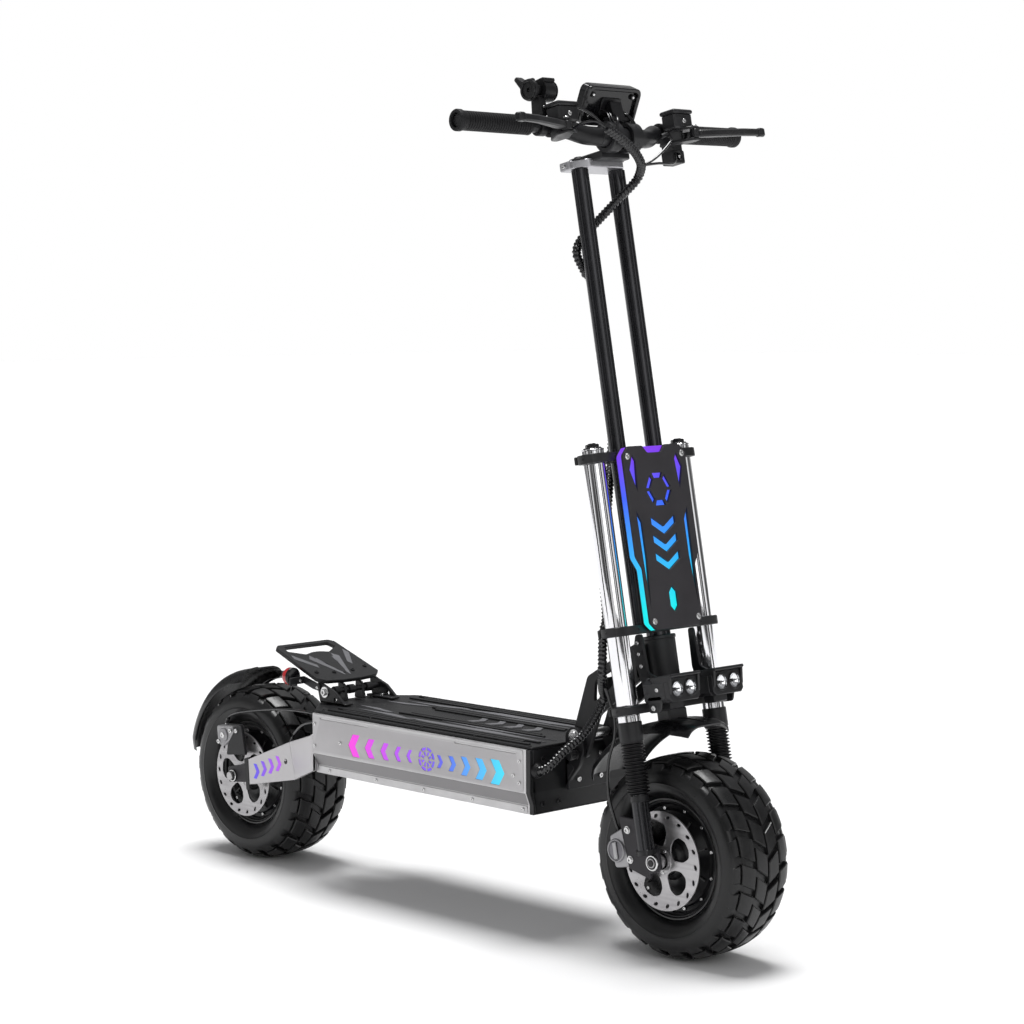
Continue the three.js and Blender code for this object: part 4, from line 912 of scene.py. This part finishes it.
for side, sign in SIDES.items():
    y = sign * TUBE_Y
    upper = Piece("fork_leg_" + side, "steering", FORK, "chrome", "fork_tube_" + side)
    upper.band(11.6, 20, 195, 227, "z", BLACK, (0, y, 0), 1.2, 56)
    upper.band(11.6, 18.7, 226.6, 237.5, "z", CHROME, (0, y, 0), 0.8, 56)
    upper.turned(eased([(0, 237), (18, 237), (18, 664), (0, 664)], 1.2, 2, False), "z", CHROME, (0, y, 0),
                 64)
    upper.band(9, 18.6, 663.6, 666.6, "z", CHROME, (0, y, 0), 0.7, 48)
    upper.disc(15, 666, 669, "z", BLACK, (0, y, 0), 0.8, 48)
    upper.nut((0, y, 668.4), (0, 0, 1), 11.5, 6, BLACK)
    upper.build()

    tube = Piece("stem_column_" + side, "steering", FORK, "black_alloy", "stem_tube_" + side)
    tube.disc(14, 364, 1125.2, "z", GLOSS_BLACK, (0, sign * STEM_Y, 0), 0.8, 56)
    tube.band(13.6, 14.8, 365, 372, "z", BLACK, (0, sign * STEM_Y, 0), 0.7, 48)
    tube.build()

    lower = Piece("fork_lower_" + side, "fork_lower", FORK, "grey_alloy", "fork_slider_" + side)
    lower.disc(11, 100, 330, "z", CHROME, (0, y, 0), 0.8, 40)
    fluted = []
    for k in range(72):
        a = 2 * math.pi * k / 72
        r = 14 - 1.1 * max(0.0, math.cos(6 * a) - 0.55) / 0.45
        fluted.append(polar(r, a, (0, y)))
    lower.plate([fluted], "z", 22, 100, GLOSS_BLACK, 0.6)
    lower.band(10, 15, 99, 110.5, "z", BLACK, (0, y, 0), 1, 48)
    lower.band(10, 15, 14.4, 23, "z", BLACK, (0, y, 0), 1, 48)
    lower.block((-15, sign * 84, 14), (13, sign * 113, 24), BLACK, 2)
    dropout = eased([(-15, 22), (13, 22), (14, -10), (4, -17), (-10, -17), (-16, -8)], 4, 3)
    lower.plate([dropout, ring(8.6, 24)], "y", sign * 84, sign * 91, PANEL, 0.9)
    lower.build()

    boot = Piece("fork_boot_" + side, "fork_lower", FORK, "grip_rubber", "bellows_" + side)
    ribs = [(12, 110.8)]
    for k in range(15):
        low = 112.6 + k * 5.4
        ribs += [(14.6, low), (18.9, low + 1.8), (18.9, low + 2.8), (14.6, low + 4.6)]
    ribs += [(18.4, 193.2), (18.4, 194.7), (12, 194.7)]
    boot.turned(ribs, "z", RUBBER, (0, y, 0), 48)
    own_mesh(boot.build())

spindle = Piece("front_axle_set", "fork_lower", FORK, "disc_steel", "front_axle")
spindle.disc(8, -96, 96, "y", STEEL)
for sign in (-1, 1):
    spindle.nut((0, sign * 91.3, 0), (0, sign, 0), 10.4, 4.4, BLACK, 13)
    spindle.band(9.4, 13, sign * 91.2, sign * 94.6, "y", ZINC, bevel=1)
    spindle.band(8, 12, sign * 74, sign * 83.7, "y", STEEL)
spindle.build()

gripper = Piece("front_brake_unit", "fork_lower", FORK, "grey_alloy", "front_caliper")
gripper.plate([eased([(-70, 77), (-4, 64), (-17, -28), (-62, -8)], 5, 3)], "y", -83.7, -78, PANEL, 0.8)
gripper.turned(eased([(0, -86), (15, -86), (21, -83), (21, -73.6), (0, -73.6)], 1, 2, False), "y", CALIPER,
               (-84, 0, 22), 56)
gripper.band(16, 18.5, -86.8, -85, "y", CALIPER, (-84, 0, 22), 0.5, 48)
gripper.disc(20, -65, -58, "y", CALIPER, (-84, 0, 22), 1.4, 48)
for lo, hi in ((-83.7, -73.6), (-65, -58)):
    gripper.plate([eased([(-96, 46), (-64, 58), (-60, -6), (-92, -6)], 4, 2)], "y", lo, hi, CALIPER, 1.2)
gripper.plate([eased([(-98, 44), (-84, 54), (-88, -4), (-98, -4)], 3)], "y", -74, -64.6, CALIPER, 0.8)
gripper.block((-88, -89, 8), (-80, -86, 36), CALIPER, 1)
for x, h in ((-54, 54), (-56, 6)):
    gripper.bolt((x, -83.7, h), (0, -1, 0), 5, ZINC, 3.6, 6.6)
gripper.build()

panel = Piece("cover_plate", "steering", FORK, "grey_alloy", "front_panel")
rim = beside([(50, 366), (62, 378), (62, 466), (74, 486), (74, 650), (60, 664), (26, 664), (16, 652)])
slots = [[(-50, 590), (-62, 626), (-52, 650), (-46, 640)],
         [(-58, 480), (-60, 560), (-50, 540), (-50, 480), (-56, 400)]]
slots += [flipped(points) for points in slots]
for k in range(6):
    a0, a1 = math.radians(60 * k + 6), math.radians(60 * k + 54)
    slots.append([polar(r, a, (0, 592)) for r, a in ((29, a0), (29, a1), (20, a1), (20, a0))])
for h in (518, 489, 460):
    slots.append([(v, u) for u, v in chevron((h, 0), 28, 13, -1)])
slots.append([(9, 402), (0, 392), (-9, 402), (-9, 424), (0, 434), (9, 424)])
panel.plate([eased(rim, 2), *slots], "x", 34, 39, PANEL, 0.7)
for y, h in ((-64, 648), (64, 648), (-52, 380), (52, 380)):
    panel.bolt((39, y, h), (1, 0, 0), 4.4, ZINC, 2.2, 5.4)
panel.build()

guide = Piece("light_guide_plate", "steering", FORK, "light_guide", "panel_light")
rim = beside([(50, 366.5), (62.5, 378), (62.5, 465), (74.5, 485), (74.5, 649), (61, 663)])
guide.plate([eased(rim, 2)], "x", 23.9, 33.7, PANEL_GLOW, 1.0)
guide.plate([eased(rim, 2)], "x", 22.3, 24.1, PANEL, 0.5)
guide.build()

for side, sign in SIDES.items():
    pod = Piece("lamp_pod_" + side, "steering", FORK, "black_alloy", "light_pod_" + side)
    lo, hi = sorted((sign * 88, sign * 16))
    case = eased(rectangle((lo, 250), (hi, 288)), 6, 1)
    pod.plate([case], "x", 26, 74, BLACK, 1.6)
    pod.plate([case, *[ring(13.2, 32, (sign * y, 270)) for y in (68, 37)]], "x", 73, 83, BLACK, 1.2)
    for k in range(5):
        pod.block((30 + 9 * k, lo + 6, 286.6), (35 + 9 * k, hi - 6, 291.6), BLACK, 1)
    visor = eased([(62, 287), (62, 293), (90, 294.4), (91, 290), (82, 287)], 1)
    pod.plate([visor], "y", lo + 1, hi - 1, BLACK, 1)
    for y in (lo + 3, hi - 3):
        shroud = eased([(44, 287), (44, 292), (88, 292), (84, 262), (72, 262)], 2)
        pod.plate([shroud], "y", y - 2.4, y + 2.4, BLACK)
    for y in (68, 37):
        centre = (0, sign * y, 270)
        bowl = [(0, 75), (4, 75.4), (8, 77.2), (11.4, 80.4), (12, 83.6), (13.4, 83.6), (13.4, 73.5),
                (0, 73.5)]
        pod.turned(bowl, "x", LENS, centre, 40)
        pod.band(11.8, 14.4, 82.6, 84.6, "x", BLACK, centre, 0.5, 40)
        pod.block((75, sign * y - 2.6, 267.4), (76.4, sign * y + 2.6, 272.6), PLASTIC, 0.4)
        pod.block((76, sign * y - 11.6, 269.2), (79, sign * y + 11.6, 270.8), BLACK, 0.4)
    back = [(12, 256), (2, 300), (4, 363.2)] if side == "left" else [(8, 256), (-8, 330), (2, 363.2)]
    hanger = [*back, (16, 363.2), (20, 300), (40, 290), (40, 256)]
    pod.plate([eased(hanger, 5, 3)], "y", sign * 59, sign * 64, BLACK_METAL, 0.8)
    for x, h in ((6, 350), (6, 332), (8, 312)):
        pod.bolt((x, sign * 64, h), (0, sign, 0), 3.4, ZINC, 2.4)
    foot = eased([(34, 236), (34, 262), (66, 262), (58, 236)], 5, 2)
    pod.plate([foot], "y", sign * 84, sign * 88, BLACK, 0.8)
    pod.bolt((46, sign * 88, 244), (0, sign, 0), 4.4, ZINC, 3)
    pod.bolt((58, sign * 88, 272), (0, sign, 0), 3.4, ZINC, 2.4)
    pod.block((40, sign * 52 - 16, 238), (64, sign * 52 + 16, 251), BLACK, 2)
    pod.build()

guard = Piece("front_mudguard", "steering", FORK, "black_plastic", "front_fender")
guard.swept(fender_section(221, 62, 18), -48.4, 21.1, 44, FENDER, 0.2)
guard.swept([(-3, 220), (3, 220), (2, 222.4), (-2, 222.4)], -44, 18, 36, FENDER)
guard.block((-14, -22, 217), (14, 22, 237.7), BLACK, 2)
guard.build()

# ---------------------------------------------------------------- handlebar
bridge = Piece("bar_bridge", "steering", FORK, "silver_metal", "top_bridge")
bridge.plate([eased(across([(22, 38), (-2, 62), (-28, 62)]), 5, 3)], "z", 1125.5, 1139.5, BRIDGE, 1.4)
bridge.block((-12, -34, 1134.5), (44, 34, 1147.5), BLACK, 2)
for sign in (-1, 1):
    bridge.disc(15.5, 1139, 1142, "z", BLACK, (0, sign * STEM_Y, 0), 1, 40)
    bridge.bolt((0, sign * STEM_Y, 1141.6), (0, 0, 1), 7, BLACK, 4)
    bridge.bolt((-16, sign * 61.6, 1132.5), (0, sign, 0), 3.6, ZINC, 3)
    bridge.turned(eased([(16.6, sign * 10), (25, sign * 10), (25, sign * 34), (16.6, sign * 34)], 1.4), "y",
                  BLACK, (57, 0, 1166), 56)
    for x, h in ((74, 1178), (74, 1154), (44, 1188)):
        bridge.bolt((x, sign * 22, h), (x - 57, 0, h - 1166), 4, BLACK, 4.5)
bridge.build()

BAR_KNEE, BAR_END = Vector((35, 111, 1183)), Vector((21.8, 321, 1188.6))


def bar_point(y):
    """Point of the bar's straight outer part at a distance from the middle; the sign picks the side."""
    share = (abs(y) - BAR_KNEE.y) / (BAR_END.y - BAR_KNEE.y)
    point = BAR_KNEE.lerp(BAR_END, share)
    return Vector((point.x, math.copysign(abs(y), y), point.z))


def bar_frame(y):
    """Frame on the bar whose z runs outwards."""
    outward = bar_point(y) - bar_point(math.copysign(abs(y) - 10, y))
    return facing(bar_point(y), outward)


bar = Piece("bar_tube", "steering", FORK, "black_alloy", "handlebar")
bar.disc(16, -50, 50, "y", BLACK, (57, 0, 1166), 0.8, 48)
for sign in (-1, 1):
    route = [(57, 44, 1166), (56, 54, 1166.4), (50, 74, 1169), (42, 94, 1177), (35, 111, 1183),
             (33.5, 134, 1183.6)]
    bar.tube([(x, sign * y, z) for x, y, z in route], 15.3, BLACK, 3, 32,
             lambda s, a: 15.3 - 4.3 * min(1.0, max(0.0, (s - 62) / 14)))
    bar.rod(bar_point(sign * 120), bar_point(sign * 321), 11, BLACK, steps=32)
bar.build()

for side, sign in SIDES.items():
    sleeve = Piece("grip_sleeve_" + side, "steering", FORK, "grip_rubber", "grip_" + side)
    profile = [(11.9, 0), (15, 0), (16, 1)]
    for k in range(26):
        base_at = 6 + k * 4.9
        profile += [(15.7, base_at), (14.5, base_at + 0.8), (14.5, base_at + 1.5), (15.7, base_at + 2.3)]
    profile += [(16, 137), (17.4, 139.4), (17.4, 146), (16.4, 147.6), (11.9, 147.6)]
    sleeve.turned(profile, "z", GRIP, steps=44, local=bar_frame(sign * 178))
    sleeve.build()

    perch = Piece("brake_clamp_" + side, "steering", FORK, "black_alloy", "brake_perch_" + side)
    perch.band(11.4, 17, -8, 8, "z", BLACK, steps=44, local=bar_frame(sign * 127))
    arm = [(32, 120), (32, 134), (74, 158), (95, 156), (92, 140), (60, 118)]
    plan = [(x, sign * y) for x, y in arm]
    for h in (1160, 1179.4):
        perch.plate([eased(plan, 4, 2)], "z", h, h + 4.6, BLACK, 1)
    web = [(x, sign * y) for x, y in ((32, 120), (32, 134), (66, 146), (72, 138), (60, 118))]
    perch.plate([eased(web, 3)], "z", 1162, 1182, BLACK, 1.2)
    lo, hi = sorted((sign * 112, sign * 156))
    perch.block((51, lo, 1182), (82, hi, 1208), BLACK, 3)
    perch.block((49.5, lo - 1.5, 1207), (83.5, hi + 1.5, 1214), BLACK, 2)
    for y in (sign * 120, sign * 148):
        perch.bolt((66.5, y, 1213.6), (0, 0, 1), 3, ZINC, 1.8)
    perch.bolt((88, sign * 150, 1183.6), (0, 0, 1), 5, ZINC, 3)
    perch.bolt((82, sign * 134, 1194), (1, 0, 0), 4, ZINC, 2)
    perch.rod((62, sign * 112, 1176), (58, sign * 100, 1172), 4, BLACK)
    perch.build()

    lever = Piece("brake_blade_" + side, "lever_" + side, FORK, "black_alloy", "brake_lever_" + side)
    blade = [(82, 155), (94, 156), (103, 180), (119, 240), (124, 286), (116, 290), (108, 240), (86, 180)]
    blade = eased([(x, sign * y) for x, y in blade], 4, 3)
    lever.plate([blade], "z", 1166, 1178, BLACK, 2.4)
    tip = eased([(112, sign * 272), (124.5, sign * 272), (125, sign * 286), (116, sign * 291)], 4, 3)
    lever.plate([tip], "z", 1165, 1179, BLACK, 2)
    lever.disc(8, 1165, 1179, "z", BLACK, (88, sign * 150, 0), 1, 32)
    lever.build()

gas = Piece("throttle_body", "steering", FORK, "black_plastic", "throttle_housing")
gas.band(11.4, 16, -7, 7, "z", PLASTIC, steps=44, local=bar_frame(-153))
gas.plate([eased([(22, 1194), (26, 1230), (44, 1230), (48, 1200)], 3, 2)], "y", -160, -145, PLASTIC, 1.2)
gas.turned(eased([(3.6, -173), (15, -173), (18, -170.5), (18, -166.6), (3.6, -166.6)], 0.6), "y", PLASTIC,
           (36, 0, 1241), 48)
gas.turned(eased([(0, -149.6), (18, -149.6), (18, -127), (15, -123), (0, -123)], 0.8, 1, False), "y",
           PLASTIC, (36, 0, 1241), 48)
for y0, y1 in ((-174.6, -172.6), (-123.4, -121.6)):
    gas.band(12.6, 16.8, y0, y1, "y", GLOSSY, (36, 0, 1241), 0.5, 40)
gas.disc(3, -168, -148, "y", ZINC, (36, 0, 1241), 0.3, 16)
hood = eased([(18, 1250), (20, 1258), (50, 1260), (54, 1256), (50, 1251)], 2)
gas.plate([hood], "y", -150, -126, PLASTIC, 1)
gas.plate([eased([(24, 1252), (26, 1258), (48, 1258), (50, 1252)], 2)], "y", -171, -166.8, PLASTIC, 0.8)
gas.bolt((46, -152.5, 1212), (1, 0, 0.1), 2.6, ZINC, 1.6)
gas.build()

thumb = Piece("throttle_paddle", "trigger", FORK, "black_plastic", "throttle_trigger")
paddle = eased([(30, 1233), (42, 1233), (46, 1246), (37, 1251), (22, 1257), (4, 1271), (-3, 1267),
                (10, 1248), (24, 1240)], 4, 3)
thumb.plate([paddle, ring(3.5, 14, (36, 1241))], "y", -164.6, -151.4, PLASTIC, 1.6)
thumb.build()

TILT = Matrix.Translation((40, 0, 1224)) @ Matrix.Rotation(math.radians(32), 4, "Y")
meter = Piece("display_unit", "steering", FORK, "gloss_plastic", "display")
slab = eased(rectangle((-62, -33), (62, 33)), 14, 5)
inner_slab = eased(rectangle((-55, -26), (55, 26)), 10, 5)
meter.plate([slab], "x", -11, 5, GLOSSY, 1.8, TILT)
meter.plate([slab, inner_slab], "x", 4, 11, GLOSSY, 1.6, TILT)
meter.plate([inner_slab], "x", -11.8, -10.2, SCREEN, 0.5, TILT)
for k in range(5):
    gauge = rectangle((-40 + 8 * k, -18), (-34 + 8 * k, -12 + 2 * k))
    meter.plate([gauge], "x", -12.2, -11.6, SIDE_GLOW, 0.1, TILT)
for y, h in ((-46, 18), (46, 18), (-46, -18), (46, -18)):
    meter.disc(4.6, 4.6, 9, "x", PLASTIC, (0, y, h), 0.6, 20, TILT)
    meter.disc(2.2, 8.6, 9.8, "x", ZINC, (0, y, h), 0.4, 14, TILT)
meter.plate([eased(rectangle((-22, -16), (22, 14)), 4, 2)], "x", 4.6, 8, PLASTIC, 0.8, TILT)
meter.plate([eased([(49, 1191.5), (66, 1191.5), (60, 1226), (46, 1220)], 2)], "y", -13, 13, PLASTIC, 1.4)
meter.plate([eased([(50, 1191.5), (65, 1191.5), (64, 1200), (49, 1200)], 2)], "y", -24, 24, PLASTIC, 1)
for y in (-22, -17, 17, 21):
    wire = [(47, y, 1214), (60, 1.1 * y, 1205), (68, 1.3 * y, 1192), (72, 1.4 * y, 1178)]
    meter.tube(wire, 1.6, CABLE, 3, 8)
meter.build()

pad = Piece("switch_housing", "steering", FORK, "black_plastic", "switch_box")
pad.band(11.4, 15.5, -10, 10, "z", PLASTIC, steps=44, local=bar_frame(156))
clip = eased(rectangle((144, 1134), (172, 1156)), 3, 2)
pad.plate([clip, ring(6.3, 20, (158, 1146))], "x", 12, 40, PLASTIC, 1.4)
pad.plate([eased(rectangle((146, 1154), (170, 1176)), 3, 2)], "x", 13, 39, PLASTIC, 1.4)
pad.plate([eased(rectangle((150, 1160), (166, 1170)), 2)], "x", 10.4, 14, GLOSSY, 0.8)
pad.bolt((40, 158, 1145), (1, 0, 0), 2.6, ZINC, 1.4)
pad.build()

beep = Piece("horn_cap", "horn", FORK, "black_plastic", "horn_button")
beep.disc(5.8, 8.5, 19, "x", RED, (0, 158, 1152), 1.2, 28)
beep.build()

# ---------------------------------------------------------------- cables
LOOM_PITCH = 6.5


def spiral(radius):
    return lambda s, a: radius - 0.9 + 0.9 * math.cos(2 * math.pi * s / LOOM_PITCH + a)


loom = Piece("wiring_loom", "steering", FORK, "cable", "loom_upper")
inverse = FORK.inverted() @ DECK
trunk = [(96, -70, 1170), (95, -38, 1154), (88, -4, 1137), (76, 22, 1120), (58, 36, 1108), (44, 36, 1096),
         (26, 18, 1076), (5, 0, 1054), (-14, -16, 1034), (-25, -38, 1012), (-25, -50, 990), (-24, -38, 960),
         (-23, -26, 925), (-24, -24, 720), (-32, -26, 660), (-33, -32, 635), (-34, -76, 480),
         (-34, -86, 400), (-34, -99, 370), (-38, -108, 311), (-66, -84, 283),
         inverse @ Vector((949, -59, 416)), inverse @ Vector((943, -58, 404))]
loom.tube(trunk, 8, CABLE, 1.3, 14, spiral(8))
for points in ([(60, -112, 1174), (78, -104, 1180), (92, -88, 1180), (96, -70, 1170)],
               [(40, -140, 1204), (66, -126, 1214), (88, -98, 1196), (95, -74, 1174)],
               [(72, -20, 1200), (90, -34, 1186), (94, -44, 1160)],
               [(40, 150, 1150), (60, 120, 1128), (74, 66, 1122), (72, 30, 1118)],
               [(62, 112, 1174), (78, 100, 1160), (80, 60, 1132), (70, 30, 1116)]):
    loom.tube(points, 2.2, CABLE, 3, 10)
loom_piece = loom.build(ride=False)
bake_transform(loom_piece)

under = Piece("wiring_loom_lower", "chassis", DECK, "cable", "loom_lower")
under.tube([(943, -58, 404), (937, -58, 393), (922, -60, 370), (905, -68, 345), (885, -92, 318),
            (872, -108, 297), (860, -115, 288), (848.5, -115, 286)], 8, CABLE, 1.3, 14, spiral(8))
under_piece = under.build(ride=False)
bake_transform(under_piece)
gland = Piece("loom_gland", "chassis", DECK, "black_plastic")
gland.turned(eased([(7, 845.4), (13, 845.4), (13, 850), (10, 852.6), (10, 856), (7, 856)], 0.8), "x",
             PLASTIC, (0, -115, 286), 28)
gland.build()

line = Piece("front_brake_line", "fork_lower", FORK, "cable", "front_brake_hose")
line.tube([(-41, -103, 285), (-40, -98, 264), (-37, -95, 234), (-44, -95, 202), (-64, -95, 166),
           (-77, -92, 116), (-80, -82, 70), (-80, -76, 50)], 2.5, CABLE, 3)
line_piece = line.build(ride=False)
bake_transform(line_piece)

# ---------------------------------------------------------------- stage
floor_mesh = bpy.data.meshes.new("studio_floor")
REACH = 40
floor_mesh.from_pydata([(-REACH, -REACH, 0), (REACH, -REACH, 0), (REACH, REACH, 0), (-REACH, REACH, 0)], [],
                       [(0, 1, 2, 3)])
floor_mesh.materials.append(surface("studio_white", (0.88, 0.88, 0.88), 0.9, 0.0, 200, spread=0.02,
                                    relief=0.03, patches=0.6, shine=0.0))
studio_floor = bpy.data.objects.new("studio_floor", floor_mesh)
link(studio_floor)

bpy.context.scene.view_settings.view_transform = "Standard"

# Studio: white surroundings, which the object sees as soft panels of light with darker gaps between them.
world = bpy.data.worlds.new("studio")
world.use_nodes = True
studio = world.node_tree
compass = node(studio, "SeparateXYZ", {0: node(studio, "TexCoord").outputs["Generated"]})
bearing = node(studio, "Math", {0: compass.outputs["Y"], 1: compass.outputs["X"]},
               operation="ARCTAN2").outputs[0]
turn_share = node(studio, "MapRange",
                  {"Value": bearing, "From Min": -math.pi, "From Max": math.pi}).outputs["Result"]
PANELS = [(0.0, 0.15), (0.08, 0.25), (0.12, 0.4), (0.16, 0.9), (0.19, 0.9), (0.22, 0.1), (0.27, 0.04),
          (0.30, 0.3), (0.34, 0.6), (0.40, 0.6), (0.42, 0.05), (0.46, 0.04), (0.50, 0.3), (0.54, 1.0),
          (0.60, 1.0), (0.63, 0.1), (0.70, 0.06), (0.76, 0.4), (0.84, 0.5), (0.92, 0.2), (1.0, 0.15)]
glow = ramp(studio, turn_share, [(at, (level, level, level)) for at, level in PANELS])
overhead = node(studio, "MapRange", {"Value": compass.outputs["Z"], "From Min": 0.25, "From Max": 0.9,
                                     "To Min": 0.0, "To Max": 1.0}).outputs["Result"]
ambient = node(studio, "MixRGB",
               {"Fac": overhead, "Color1": glow, "Color2": (0.32, 0.32, 0.33, 1)}).outputs["Color"]
seen = node(studio, "LightPath").outputs["Is Camera Ray"]
sky = node(studio, "MixRGB", {"Fac": seen, "Color1": ambient, "Color2": (1, 1, 1, 1)}).outputs["Color"]
studio.links.new(sky, studio.nodes["Background"].inputs["Color"])
bpy.context.scene.world = world


def lamp_at(name, kind, at, target, power, size):
    data = bpy.data.lights.new(name, kind)
    data.energy = power
    if kind == "SUN":
        data.angle = math.radians(size)
    else:
        data.size = size
    lamp = bpy.data.objects.new(name, data)
    lamp.matrix_world = facing(at, Vector(at) - Vector(target))
    link(lamp)


lamp_at("overhead", "SUN", (-0.55, 0.4, 4), (0, 0, 0), 3.0, 28)
lamp_at("front_fill", "AREA", (3.0, -1.0, 1.6), (0.3, 0, 0.7), 11, 1.6)

# Dark cards that only reflections see: they draw the dark streaks along the bright tubes.
CARD_DISTANCE, CARD_FOOT, CARD_TOP = 3, 0.02, 2.6
flag_mesh = bpy.data.meshes.new("studio_flags")
corners = []
for bearing_degrees, half_degrees in ((-57, 5.5), (14, 6), (-118, 7), (-6, 2.5)):
    left, right = (math.radians(bearing_degrees + side * half_degrees) for side in (-1, 1))
    corners += [(*polar(CARD_DISTANCE, a), z)
                for a, z in ((left, CARD_FOOT), (right, CARD_FOOT), (right, CARD_TOP), (left, CARD_TOP))]
flag_mesh.from_pydata(corners, [], [tuple(range(k, k + 4)) for k in range(0, len(corners), 4)])
flag_mesh.materials.append(surface("flag_felt", (0.01, 0.01, 0.01), 0.9, shine=0.0))
flags = bpy.data.objects.new("studio_flags", flag_mesh)
link(flags)
flags.visible_camera = flags.visible_diffuse = flags.visible_shadow = flags.visible_transmission = False

# Camera: a long lens in front of the scooter's right side, at the height of the stem.
YAW, PITCH, ROLL = 2.3774892, 0.0804014, 0.0049878
FOCAL_LENGTH, SENSOR_WIDTH = 89.635, 36
STANDPOINT = Vector((3.29184, -3.01853, 1.04904))
ahead = Vector((math.cos(YAW) * math.cos(PITCH), math.sin(YAW) * math.cos(PITCH), -math.sin(PITCH)))
level = ahead.cross(Vector((0, 0, 1))).normalized()
down = ahead.cross(level)
camera_right = math.cos(ROLL) * level + math.sin(ROLL) * down
camera_down = -math.sin(ROLL) * level + math.cos(ROLL) * down
camera_data = bpy.data.cameras.new("studio_camera")
camera_data.lens = FOCAL_LENGTH
camera_data.sensor_width = SENSOR_WIDTH
camera = bpy.data.objects.new("studio_camera", camera_data)
pose = Matrix((camera_right, -camera_down, -ahead)).transposed().to_4x4()
pose.translation = STANDPOINT
camera.matrix_world = pose
link(camera)
bpy.context.scene.camera = camera
